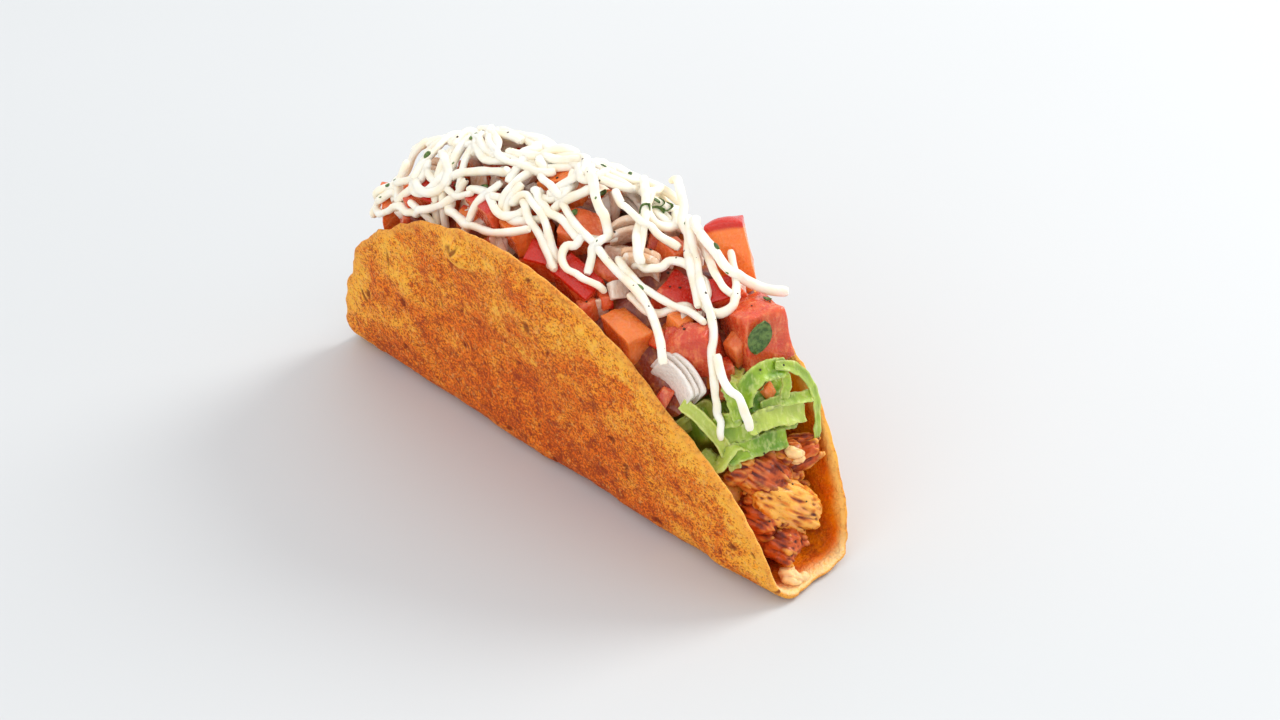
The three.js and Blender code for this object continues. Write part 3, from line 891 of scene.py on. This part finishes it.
def leafStrip(bm, route, width, cup, ruffle, seed, facing=(0, 0, 1)):
    # one shred: a grid laid along a route in mm, curled across, with ruffled edges
    steps = lettuce["steps"]
    path = along(route, steps + 1) * mm
    made = bmesh.ops.create_grid(bm, x_segments=steps, y_segments=6, size=1)
    normal = Vector(facing).normalized()
    frames = []
    for i in range(steps + 1):
        ahead = Vector(path[min(i + 1, steps)] - path[max(i - 1, 0)]).normalized()
        normal = (normal - ahead * normal.dot(ahead)).normalized()
        frames.append((Vector(path[i]), ahead, normal.copy()))
    acrossOf = {}
    for v in made["verts"]:
        i = round((v.co.x + 1) / 2 * steps)
        u = v.co.y
        spot, ahead, up = frames[i]
        side = ahead.cross(up)
        ragged = 1 + 0.22 * noise.noise((i * 0.23, seed, 3 * u)) + 0.12 * noise.noise((i * 0.7, seed, 4 * u))
        ends = 0.8 + 0.2 * smooth(min(i, steps - i), 0, 2)
        half = width / 2 * mm * ragged * ends
        wave = ruffle * mm * abs(u) ** 1.5 * noise.noise((i * 0.33, seed + (7 if u > 0 else 0), 2))
        bend = cup * mm * u * u + 0.35 * mm * noise.noise((i * 0.3, seed + 20, u))
        slant = 0.35 * math.sin(seed) * u * half * (i / steps) ** 3        # the ends are cut aslant
        v.co = spot + side * u * half + up * (bend + wave) + ahead * slant
        acrossOf[v] = abs(u)
    return acrossOf


# the shreds that show at the mouth, as routes in mm, then width, cup, ruffle and paleness
mouthShreds = [
    ([(57, -6, 44.5), (57.5, -4.6, 49), (58.2, -2, 51.6), (58.9, 1.6, 51.8),
      (59.5, 5, 50.8)], 4.6, 0.9, 0.8, 0.1, (0.6, -0.55, 0.6)),
    ([(59.3, 2.5, 52.6), (60.3, 7, 50.6), (61.2, 10.6, 46.6), (62, 12.6, 41.8), (62.5, 13.1, 37.6),
      (63, 12.9, 33.8), (63.5, 12.4, 29.5)],
     2.5, 0.4, 0.5, 0.35, (0.6, -0.55, 0.6)),
    ([(59.6, 4.8, 50.5), (60, 5.7, 46.8), (60.3, 4.6, 43)], 2.2, 0.4, 0.3, 0.4, (0.7, -0.5, 0.4)),
    ([(58.6, -1, 42.2), (60, 3, 42.6), (61.2, 7.4, 42),
      (62.4, 11.6, 41.2)], 2.8, 0.5, 0.4, 0.3, (0.6, -0.4, 0.6)),
    ([(59, -6, 39.6), (60.5, -1.6, 40.1), (61.5, 3.9, 39.2),
      (62.5, 9.2, 38)], 4.8, 0.5, 1.1, 0.6, (0.75, -0.35, 0.55)),
    ([(57.5, -11, 32.6), (59, -8.4, 33.4), (60.5, -4.4, 34), (61.7, -0.4, 34.1),
      (62.5, 3.4, 33.7)], 4.6, 0.4, 1.2, 0.05, (0.8, -0.25, 0.55)),
    ([(47, -15.2, 44.2), (50.5, -14, 42.6), (53.5, -12.5, 39.6), (56, -11, 35.7), (58, -9.8, 31.6),
      (59, -9.3, 29.2)],
     3.0, 0.7, 0.4, 0.7, (0.5, -0.7, 0.6)),
    ([(54.5, -8, 50), (56, -8, 48), (57.5, -8, 45.5),
      (58.6, -8, 42.5)], 3.6, 0.6, 0.5, 0.2, (0.6, -0.7, 0.3)),
    ([(51, -1, 49), (53, -3.5, 49.6), (55, -6, 49),
      (55.5, -8, 46.6)], 2.6, 0.6, 0.7, 0.85, (0.6, -0.6, 0.6)),
    ([(54, -2, 38), (57.5, 0, 37), (59.5, 4, 36.5), (61, 8, 36.5)], 4.6, 0.6, 0.8, 0.15, (0.9, -0.3, 0.2)),
    ([(53, -12, 40), (56, -9, 38), (58, -6, 37.5), (59.5, -3, 38)], 4.4, 0.6, 0.8, 0.2, (0.8, -0.5, 0.2)),
    ([(53, 9, 47), (56, 6, 45), (57, 2, 43), (56, -3, 42)], 4.4, 0.6, 0.8, 0.0, (0.9, -0.3, 0.3)),
]


def strewnShreds():
    draw = random.Random(77)
    shreds = []
    for i in range(lettuce["strips"]):
        mouth = 1 if i % 2 else -1
        x = mouth * draw.uniform(*lettuce["places"])
        y = draw.uniform(*lettuce["spread"])
        z = draw.uniform(*lettuce["heights"]) + (lettuce["mouthRise"] if mouth > 0 else 0)
        run = draw.uniform(*lettuce["runs"])
        heading = draw.uniform(0, math.pi)
        route = []
        for k in (-1.5, -0.5, 0.5, 1.5):
            px = x + run * k * math.cos(heading) * 0.5 + draw.uniform(-2, 2)
            py = y + run * k * math.sin(heading) * 0.6 + draw.uniform(-2, 2)
            px = max(min(px, lettuce["furthest"]), -lettuce["furthest"])
            py = max(min(py, lettuce["widest"]), -lettuce["widest"])
            route.append((px, py, z + draw.uniform(-3, 3)))
        width, cup, pale = draw.uniform(*lettuce["widths"]), draw.uniform(-1, 1), draw.uniform(0, 0.7)
        facing = (mouth, draw.uniform(-0.6, 0.6), draw.uniform(0, 0.8))
        shreds.append((route, width, cup, 0.8, pale, facing))
    return shreds


def shreddedLettuce():
    bm = bmesh.new()
    acrossOf, paleOf = {}, {}
    for seed, (route, width, cup, ruffle, pale, facing) in enumerate(mouthShreds + strewnShreds()):
        made = leafStrip(bm, route, width, cup, ruffle, seed * 3.1, facing)
        acrossOf.update(made)
        paleOf.update({v: pale for v in made})
    bm.verts.index_update()
    bm.normal_update()
    marks = {"across": [acrossOf[v] for v in bm.verts], "pale": [paleOf[v] for v in bm.verts]}
    mesh = meshOf("lettuceSheet", bm)
    for name, values in marks.items():
        setAttribute(mesh, name, values)
    piece = dress("shreddedLettuce", mesh, lettuceFinish(), ["lettuce_bed"])
    thickened(piece, lettuce["thick"], 0)
    return piece


shreds = shreddedLettuce()


def lettuceCoreShape(x, y, z):
    px = x * lettuce["coreHalf"] * (1 - 0.06 * (y * y + z * z))
    spot = Vector((px, y * (9.5 * mm + (z + 1) * 1.6 * mm), 33 * mm + z * 8 * mm))
    shift = Vector((wobble(spot, 5 * mm, 4), 0.5 * wobble(spot, 5 * mm, 5), wobble(spot, 5 * mm, 6)))
    return spot + shift * 1.6 * mm


leafMarks = {"across": lambda place: 0, "pale": lambda place: 0.1}
lumpyCore("lettuceCore", 20, lettuceCoreShape, leafMarks, shreds.data.materials[0])
print("lettuce shredded")


cheese = {
    "halfWide": 1.1 * mm,
    "halfTall": 0.9 * mm,
    "step": 2.1 * mm,          # distance between the points of a strand while it settles
    "strands": 112,
    "lowest": 47.0 * mm,       # strands that would drop out of an end are left off
    "settleSteps": 60,
    "settleRounds": 4,
    "fall": 0.16 * mm,         # in one step
    "drag": 0.8,
    "mostSpeed": 0.8 * mm,
    "friction": 0.5,
    "mostPush": 0.9 * mm,
    "feel": 3.5 * mm,          # how far off it looks for the ground
    "shove": 0.7,              # how firmly strands push each other
    # the pile as seen from above, in mm: where strands start, its ends and its sides
    "start": -55,
    "startRun": 77,
    "crowding": 1.35,
    "ends": (-60, 26),
    "nearSide": (-13, 7),      # at the far end and nearer the mouth
    "startSide": (-8, 8),
    "narrowing": (-24, 10),
    "farSide": 18,
    "stride": 7,
    # between the walls a strand stays this far from the middle: at the floor, and more per metre of height
    "room": 9.6 * mm,
    "roomGrowth": 0.165,
    "rimMargin": 6 * mm,
    "body": [srgb(255, 250, 236), srgb(255, 242, 216)],
}


def meshTree(pieces):
    # one search tree over the surfaces that the cheese lands on; its points and faces are sorted by
    # place, because the mesh operators don't always hand them over in the same order
    points, faces = [], []
    graph = bpy.context.evaluated_depsgraph_get()
    for piece in pieces:
        mesh = piece.evaluated_get(graph).to_mesh()
        places = [tuple(v.co) for v in mesh.vertices]
        start = len(points)
        order = sorted(range(len(places)), key=places.__getitem__)
        rank = {old: start + new for new, old in enumerate(order)}
        points += [places[i] for i in order]
        rings = []
        for polygon in mesh.polygons:
            ring = [rank[i] for i in polygon.vertices]
            first = ring.index(min(ring))
            rings.append(ring[first:] + ring[:first])
        faces += sorted(rings)
    return BVHTree.FromPolygons(points, faces)


def keepLength(points, rest):
    # pulls each pair of neighbours back to their distance, every other pair first
    for start in (0, 1):
        a, b, own = points[start:-1:2], points[start + 1::2], rest[start::2]
        n = min(len(a), len(b))
        between = b[:n] - a[:n]
        length = np.linalg.norm(between, axis=1, keepdims=True) + 1e-9
        change = between * (0.5 * (length - own[:n]) / length)
        points[start:start + 2 * n:2] += change
        points[start + 1:start + 1 + 2 * n:2] -= change


def keepStiff(points, rest, stiff):
    # points two and three steps apart don't come closer than a gentle bend lets them
    for reachOut in (2, 3):
        between = points[reachOut:] - points[:-reachOut]
        length = np.linalg.norm(between, axis=1, keepdims=True) + 1e-9
        wanted = stiff ** (reachOut - 1) * reachOut * rest.mean()
        change = between * (0.25 * np.minimum(length - wanted, 0) / length)
        points[:-reachOut] += change
        points[reachOut:] -= change


def betweenWalls(spot):
    climb = math.sqrt(max(shell["radius"] ** 2 - spot.x ** 2, 0)) - shell["spine"] - cornerLength
    if spot.z < climb + cheese["rimMargin"]:
        room = cheese["room"] + cheese["roomGrowth"] * spot.z
        spot.y = min(max(spot.y, -room), room)


def settle(points, ground, tree, stiff, turns, fall):
    # lets one strand fall and come to rest on the ground and on the strands laid before it
    rest = np.linalg.norm(np.diff(points, axis=0), axis=1, keepdims=True)
    rest = np.full_like(rest, rest.mean())
    reach = cheese["halfTall"]
    before = points.copy()
    for turn in range(turns):
        most = cheese["mostSpeed"]
        speed = np.clip((points - before) * cheese["drag"], -most, most) if fall else 0
        before = points.copy()
        points = points + speed
        points[:, 2] -= fall
        for repeat in range(cheese["settleRounds"]):
            keepLength(points, rest)
            if fall:
                keepStiff(points, rest, stiff)
        for i in range(len(points)):
            spot = Vector(points[i])
            place, normal, index, distance = ground.find_nearest(spot, cheese["feel"])
            away = (spot - place).dot(normal) if place is not None else reach
            if away < reach:
                spot += normal * min(reach - away, cheese["mostPush"])
                rubbed = 1 - cheese["friction"]
                before[i] = before[i] * rubbed + np.array(spot) * cheese["friction"]
            if tree:
                for other, index, distance in tree.find_range(spot, 2 * reach):
                    push = spot - other
                    if push.length > 1e-6:
                        spot += push.normalized() * (2 * reach - distance) * cheese["shove"]
            betweenWalls(spot)
            points[i] = spot
    return points


# strands that show, given one by one: the places each passes, in mm
laidStrands = [
    # over the pile, near the far ridge and round the top tomato
    [(-12, -7, 72), (-4, -8, 70), (2, -9, 69), (7, -10, 68)],
    [(-6, 9, 75), (-1, 11, 73), (3, 14, 72), (8, 17, 70), (13, 18, 68)],
    [(-9, 5, 76), (-15, 4, 76), (-16, 1, 75), (-13, -3, 74), (-9, -5, 72), (-5, -4, 71), (-2, -1, 71),
     (-1, 4, 74), (-4, 8, 76)],
    [(6, 12, 75), (12, 7, 75), (17, 2, 73), (20, -2, 69), (23, -5, 66)],
    # down to the near wall
    [(-12, -10, 70), (-8, -12, 68), (-3, -13, 66), (2, -15, 64), (7, -17, 62)],
    [(-7, -6, 73), (-4, -5, 72), (4, -8, 69), (10, -8, 68), (17, -9, 65), (24, -9, 63), (30, -10, 61),
     (35, -12, 59), (40, -15, 57), (43, -17, 54)],
    [(-3, 3, 74), (2, 0, 73), (7, -3, 70), (10, -7, 67), (12, -10, 65), (14, -14, 62)],
    [(13, -3, 66), (10, -5, 67), (7, -8, 68), (6, -12, 67), (6, -14, 66), (9, -16, 64), (13, -15, 63),
     (17, -14, 62), (19, -12, 60)],
    [(15, -6, 65), (21, -7, 63), (28, -7, 62), (34, -6, 61), (40, -5, 61), (45, -6, 60)],
    [(23, -9, 60), (29, -9, 58), (33, -8, 58), (37, -5, 58), (41, -2, 60)],
    # the long ones towards the mouth, and the loop above it
    [(21, 12, 71), (27, 7, 71), (33, 3, 68), (40, -2, 66), (45, -4, 62), (49, -8, 57), (52, -10, 52),
     (54, -11, 47), (55, -11, 42), (56, -11, 37)],
    [(51, -8.2, 56.8), (55, -9.8, 52), (59, -9.4, 48), (61.2, -7.8, 44), (62, -7.4, 40.8)],
    [(19, -6, 63), (21, -5, 64), (25, -2, 66), (28, 1, 67), (32, 2, 67), (36, 1, 67), (41, -2, 65),
     (43, -3, 63), (46, -1, 62), (47, 1, 64), (44, 5, 66), (40, 8, 68), (37, 10, 70)],
    [(8, 19, 72), (10, 19, 73), (17, 14, 73), (23, 10, 71), (28, 6, 70), (33, 2, 67), (37, -1, 66),
     (42, -3, 63)],
    [(22, 12, 71), (33, 5, 74), (37, 5, 72), (41, 5, 69), (44, 8, 66), (48, 11, 64), (52, 14, 64)],
    [(24, 11, 69), (31, 8, 68), (39, 3, 68), (44, 2, 66), (46, 4, 64)],
    [(8, 16, 72), (12, 8, 73), (18, -1, 71), (24, -6, 67)],
    [(5, 3, 73), (12, 1, 74), (18, 1, 72), (23, 3, 69), (26, 4, 67)],
    # the far end, along and over the near rim
    [(-63, -13, 46), (-58, -16, 48), (-53, -16, 51), (-47, -16, 54), (-41, -17, 56), (-36, -16, 59),
     (-34, -13, 62), (-32, -9, 65)],
    [(-60, -15, 50), (-58, -14, 52), (-57, -12, 53), (-54, -11, 52), (-53, -12, 49)],
    [(-36, -13, 60), (-32, -15, 60), (-25, -16, 61), (-17, -17, 62), (-10, -17, 65), (-5, -14, 67)],
    [(-20, -13, 66), (-15, -11, 69), (-9, -9, 71), (-4, -10, 70), (0, -13, 66), (5, -17, 62)],
    [(-50, -11, 56), (-43, -10, 62), (-36, -9, 66), (-28, -8, 70), (-19, -7, 73)],
    [(-53, -9, 54), (-58, -11, 52), (-62, -12, 48), (-65, -13, 42)],
]


def evenly(points):
    # points at even steps along a run of points
    steps = np.linalg.norm(np.diff(points, axis=0), axis=1)
    travelled = np.concatenate([[0], np.cumsum(steps)])
    count = max(int(travelled[-1] / cheese["step"]) + 1, 5)
    marks = np.linspace(0, travelled[-1], count)
    return np.stack([np.interp(marks, travelled, points[:, k]) for k in range(3)], 1)


def nearestSide(x):
    # how far towards the near wall the pile reaches: less nearer the mouth
    low, high = cheese["nearSide"]
    return low + (high - low) * smooth(x, *cheese["narrowing"])


def strewnRoute(draw):
    # a wandering strand seen from above, thick over the far end, only along the far side nearer the mouth
    x = cheese["start"] + cheese["startRun"] * draw.random() ** cheese["crowding"]
    low, high = cheese["startSide"]
    y = draw.uniform(low + (high - low) * smooth(x, *cheese["narrowing"]) + 2, cheese["farSide"] - 4)
    heading = draw.uniform(0, 2 * math.pi)
    turning = draw.uniform(-0.3, 0.3)
    route = [(x, y, 0)]
    for k in range(draw.choice((3, 4, 5, 6))):
        heading += turning + draw.uniform(-0.2, 0.2)
        x += cheese["stride"] * math.cos(heading)
        y += cheese["stride"] * math.sin(heading)
        first, last = cheese["ends"]
        if not (first + 1 < x < last and nearestSide(x) < y < cheese["farSide"]):
            heading += 1.2 if draw.random() < 0.5 else -1.2
        x, y = min(max(x, first), last), min(max(y, nearestSide(x)), cheese["farSide"])
        route.append((x, y, 0))
    return route


def liftOver(points, ground, tree):
    # raises a strand to just above what lies under it, with no sharp dips
    for i, (x, y, z) in enumerate(points):
        hit, normal = downwards(ground, x, y)
        points[i][2] = (hit.z if hit else 0.03) + 1.5 * mm
        if tree:
            above = [p.z for p, k, d in tree.find_range(Vector((x, y, points[i][2])), 3.2 * mm)]
            points[i][2] = max([points[i][2]] + [z + 2.0 * mm for z in above])
    for repeat in range(6):
        points[1:-1, 2] = np.maximum(points[1:-1, 2], (points[:-2, 2] + points[2:, 2]) / 2 - 0.3 * mm)


def treeOf(laid):
    if not laid:
        return None
    every = np.concatenate(laid)
    tree = KDTree(len(every))
    for i, p in enumerate(every):
        tree.insert(p, i)
    tree.balance()
    return tree


def gratedCheese():
    ground = meshTree([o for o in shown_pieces() if o.name not in ("lettuceCore", "salsaCore")])
    draw = random.Random(9)
    laid = []
    for number in range(cheese["strands"]):
        tree = treeOf(laid)
        points = evenly(along(strewnRoute(draw), 200) * mm)
        liftOver(points, ground, tree)
        stiff = draw.uniform(0.93, 0.985)
        points = settle(points, ground, tree, stiff, cheese["settleSteps"], cheese["fall"])
        for repeat in range(2):
            points[1:-1] = points[1:-1] * 0.5 + (points[:-2] + points[2:]) * 0.25
        if points[:, 2].min() > cheese["lowest"]:
            laid.append(points)
    for route in laidStrands:
        laid.append(settle(evenly(along(route, 200) * mm), ground, treeOf(laid), 0.9, 14, 0.0))
    return laid


def strandOutline():
    # the cut of a strand: a rounded box
    outline = bpy.data.curves.new("cheeseOutline", "CURVE")
    outline.dimensions = "2D"
    ring = outline.splines.new("POLY")
    sides, power = 10, 3.2
    ring.points.add(sides - 1)
    ring.use_cyclic_u = True
    for i in range(sides):
        c, s = math.cos(2 * math.pi * i / sides), math.sin(2 * math.pi * i / sides)
        squared = 1 / max(abs(c) ** power + abs(s) ** power, 1e-6) ** (1 / power)
        ring.points[i].co = (cheese["halfWide"] * squared * c, cheese["halfTall"] * squared * s, 0, 1)
    return inScene("cheeseOutline", outline)


def cheeseMesh(laid):
    data = bpy.data.curves.new("cheeseStrands", "CURVE")
    data.dimensions = "3D"
    outlineObject = strandOutline()
    data.bevel_mode = "OBJECT"
    data.bevel_object = outlineObject
    data.use_fill_caps = True
    data.twist_smooth = 4
    draw = random.Random(12)
    for points in laid:
        fine = along(points, len(points) * 3)
        spline = data.splines.new("POLY")
        spline.points.add(len(fine) - 1)
        thick = draw.uniform(0.86, 1.08)
        phase = draw.uniform(0, 100)
        twist = draw.uniform(-0.8, 0.8)
        for i, p in enumerate(fine):
            ends = 1 if 0 < i < len(fine) - 1 else 0.72       # cut square by the grater
            spline.points[i].co = (*p, 1)
            spline.points[i].radius = thick * ends * (1 + 0.16 * noise.noise((phase, i * 0.22, 0)))
            spline.points[i].tilt = twist * i / len(fine) * 3
    holder = inScene("cheeseHolder", data)
    graph = bpy.context.evaluated_depsgraph_get()
    mesh = bpy.data.meshes.new_from_object(holder.evaluated_get(graph))
    bpy.data.objects.remove(holder)
    bpy.data.objects.remove(outlineObject)
    return mesh


def cheeseFinish():
    finish = Finish("whiteCheese", Specular_IOR_Level=0.3, Subsurface_Weight=0.25,
                    Subsurface_Scale=0.0015, Subsurface_Radius=(1.0, 0.85, 0.65))
    soft = finish.grain(0.004, 2.0, 0.5)
    fine = finish.grain(0.0009, 2.0, 0.6)
    body = finish.blend(soft.fade(0.35, 0.7), *cheese["body"])
    finish.feed(Base_Color=body, Roughness=0.4 + fine * 0.2, Normal=finish.bump(fine, 0.0002, 0.3))
    return finish.material


strands = gratedCheese()
cheesePiece = dress("gratedCheese", cheeseMesh(strands), cheeseFinish(), ["cheese_heap"])
print("cheese settled", len(strands), "strands,", len(cheesePiece.data.polygons), "faces")


herbs = {
    "flecks": 36,
    "fleckLengths": (1.2, 3.0),
    "fleckPlaces": [(-60, 52), (-15, 15)],
    "pepper": 70,
    "pepperSizes": (0.22, 0.45),
    "pepperPlaces": (-62, 70),
    "pepperSpread": 7,
    "leafThick": 0.22 * mm,
    # the sprig lies where this line of sight meets the heap; each leaf is so far right, up and so long, in mm
    "sprigFrom": Vector((49, -24.7, 104.6)) * mm,
    "sprigView": Vector((-0.596, 0.568, -0.567)),
    "sprigRight": (0.69, 0.724),
    "sprigLeaves": [(0, 0, 4.4), (2.2, -0.4, 3.4), (-2, 0.4, 3.4), (0.6, 1.6, 3)],
    # the leaf on the large tomato is found from in front of the mouth
    "leafFrom": Vector((80, 1.3, 59.2)) * mm,
    "leafSize": (8.6 * mm, 5 * mm),
    "leafTurn": -0.25,
    "green": [srgb(54, 84, 26), srgb(104, 132, 62)],
    "pepperColours": [srgb(34, 24, 18), srgb(78, 54, 36)],
}


def herbFinish():
    finish = Finish("herbLeaf", Roughness=0.4, Specular_IOR_Level=0.5,
                    Subsurface_Weight=0.1, Subsurface_Scale=0.001)
    veins = finish.grain(0.0012, 3.0, 0.6)
    leaf = finish.blend(veins.fade(0.35, 0.65), *herbs["green"])
    finish.feed(Base_Color=leaf, Normal=finish.bump(veins, 0.0003, 0.5))
    return finish.material


def pepperFinish():
    finish = Finish("pepperGrain", Roughness=0.6)
    fine = finish.grain(0.0004, 2.0, 0.6)
    finish.feed(Base_Color=finish.blend(fine.fade(0.4, 0.6), *herbs["pepperColours"]))
    return finish.material


def leafBlade(bm, place, length, width, lobes, cup):
    made = bmesh.ops.create_grid(bm, x_segments=10, y_segments=8, size=1)
    for v in made["verts"]:
        x, y = v.co.x, v.co.y
        outline = math.sqrt(max(1 - x * x, 0.0)) * (1 + 0.22 * math.cos(lobes * x * 3))
        v.co = Vector((x * length / 2, y * width / 2 * max(outline, 0.05), cup * (y * y + 0.5 * x * x)))
    bmesh.ops.transform(bm, matrix=place, verts=made["verts"])


surface = meshTree([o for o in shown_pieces() if o.name != "lettuceCore"])


def onSurface(x, y, draw, lift):
    # the matrix that lays something flat on the heap at a place seen from above, in mm
    hit, normal = downwards(surface, x * mm, y * mm)
    if hit is None:
        return None
    lean = normal.to_track_quat("Z", "Y").to_matrix().to_4x4()
    spin = Matrix.Rotation(draw.uniform(0, 2 * math.pi), 4, "Z")
    return Matrix.Translation(hit + normal * lift) @ lean @ spin


draw = random.Random(31)
bm = bmesh.new()
for i in range(herbs["flecks"]):
    place = onSurface(*(draw.uniform(*span) for span in herbs["fleckPlaces"]), draw, 0.25 * mm)
    if place:
        length = draw.uniform(*herbs["fleckLengths"]) * mm
        leafBlade(bm, place, length, length * draw.uniform(0.4, 0.8), draw.uniform(0.5, 1.5), 0.3 * mm)
for right, up, size in herbs["sprigLeaves"]:
    aside = [share * right for share in herbs["sprigRight"]]
    start = herbs["sprigFrom"] + Vector((*aside, up)) * mm
    spot, normal, index, distance = surface.ray_cast(start, herbs["sprigView"])
    if spot:
        lean = (normal * 0.5 - herbs["sprigView"]).to_track_quat("Z", "Y").to_matrix().to_4x4()
        spin = Matrix.Rotation(draw.uniform(0, math.pi), 4, "Z")
        place = Matrix.Translation(spot + normal * 0.9 * mm) @ lean @ spin
        leafBlade(bm, place, size * mm, size * 0.6 * mm, 1.0, 0.5 * mm)
spot, normal, index, distance = surface.ray_cast(herbs["leafFrom"], Vector((-1, 0, 0)))
upwards = Vector((0, 0, 1))
upright = Matrix((upwards, normal.cross(upwards), normal)).transposed().to_4x4()
place = Matrix.Translation(spot + normal * 0.6 * mm) @ upright @ Matrix.Rotation(herbs["leafTurn"], 4, "Z")
leafBlade(bm, place, *herbs["leafSize"], 0.6, 0.4 * mm)
bmesh.ops.remove_doubles(bm, verts=bm.verts, dist=1e-5)
thickened(newPiece("choppedHerb", bm, herbFinish()), herbs["leafThick"], -1)

bm = bmesh.new()
for i in range(herbs["pepper"]):
    x = draw.uniform(*herbs["pepperPlaces"])
    place = onSurface(x, draw.gauss(0, herbs["pepperSpread"]), draw, 0.1 * mm)
    if place:
        size = draw.uniform(*herbs["pepperSizes"]) * mm
        grain = place @ scaled(size, size * 0.8, size * 0.6)
        bmesh.ops.create_icosphere(bm, subdivisions=1, radius=1, matrix=grain)
newPiece("crackedPepper", bm, pepperFinish())
print("herbs and pepper strewn")


studio = {
    "azimuth": 46.36,
    "elevation": 34.57,
    "distance": 902.9 * mm,
    "aim": (9.73 * mm, 7.3 * mm, 27.1 * mm),
    "lens": 105.8,
    "worldStrength": 1.0,
    "worldColour": (0.98, 0.995, 1.015, 1),
    # azimuth, elevation, distance in metres, size, power and colour
    "keyLight": (167, 38, 1.2, 0.6, 8.4, (1.0, 0.985, 0.955)),
    "fillLight": (20, 35, 1.4, 1.2, 3.0, (1, 1, 1)),
    "lightAim": Vector((0, 0, 0.03)),
    "floor": [srgb(206, 208, 209), srgb(210, 212, 213)],
    "floorHalf": 3,
}


def floorFinish():
    finish = Finish("paleFloor", Roughness=0.6, Specular_IOR_Level=0.2)
    soft = finish.grain(0.2, 2.0, 0.5)
    finish.feed(Base_Color=finish.blend(soft, *studio["floor"]))
    return finish.material


bm = bmesh.new()
bmesh.ops.create_grid(bm, x_segments=1, y_segments=1, size=studio["floorHalf"])
floor = inScene("floor", meshOf("floor", bm))
floor.data.materials.append(floorFinish())
floor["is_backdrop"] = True


def backVector(azimuth, elevation):
    a, e = math.radians(azimuth), math.radians(elevation)
    return Vector((math.sin(a) * math.cos(e), -math.cos(a) * math.cos(e), math.sin(e)))


def aimFrom(piece, aim, back, distance):
    # stands a light or the camera at a distance from what it looks at
    piece.location = Vector(aim) + back * distance
    piece.rotation_mode = "QUATERNION"
    piece.rotation_quaternion = (-back).to_track_quat("-Z", "Y")


for name in ("keyLight", "fillLight"):
    azimuth, elevation, distance, size, power, colour = studio[name]
    data = bpy.data.lights.new(name, "AREA")
    data.shape = "DISK"
    data.size = size
    data.energy = power
    data.color = colour
    aimFrom(inScene(name, data), studio["lightAim"], backVector(azimuth, elevation), distance)

world = bpy.data.worlds.new("studioWorld")
world.use_nodes = True
sky = world.node_tree.nodes["Background"]
sky.inputs["Color"].default_value = studio["worldColour"]
sky.inputs["Strength"].default_value = studio["worldStrength"]
bpy.context.scene.world = world
bpy.context.scene.view_settings.view_transform = "Standard"

lens = bpy.data.cameras.new("camera")
lens.lens = studio["lens"]
lens.sensor_width = 36
lens.clip_start = 0.05
camera = inScene("camera", lens)
aimFrom(camera, studio["aim"], backVector(studio["azimuth"], studio["elevation"]), studio["distance"])
bpy.context.scene.camera = camera
print("studio set")
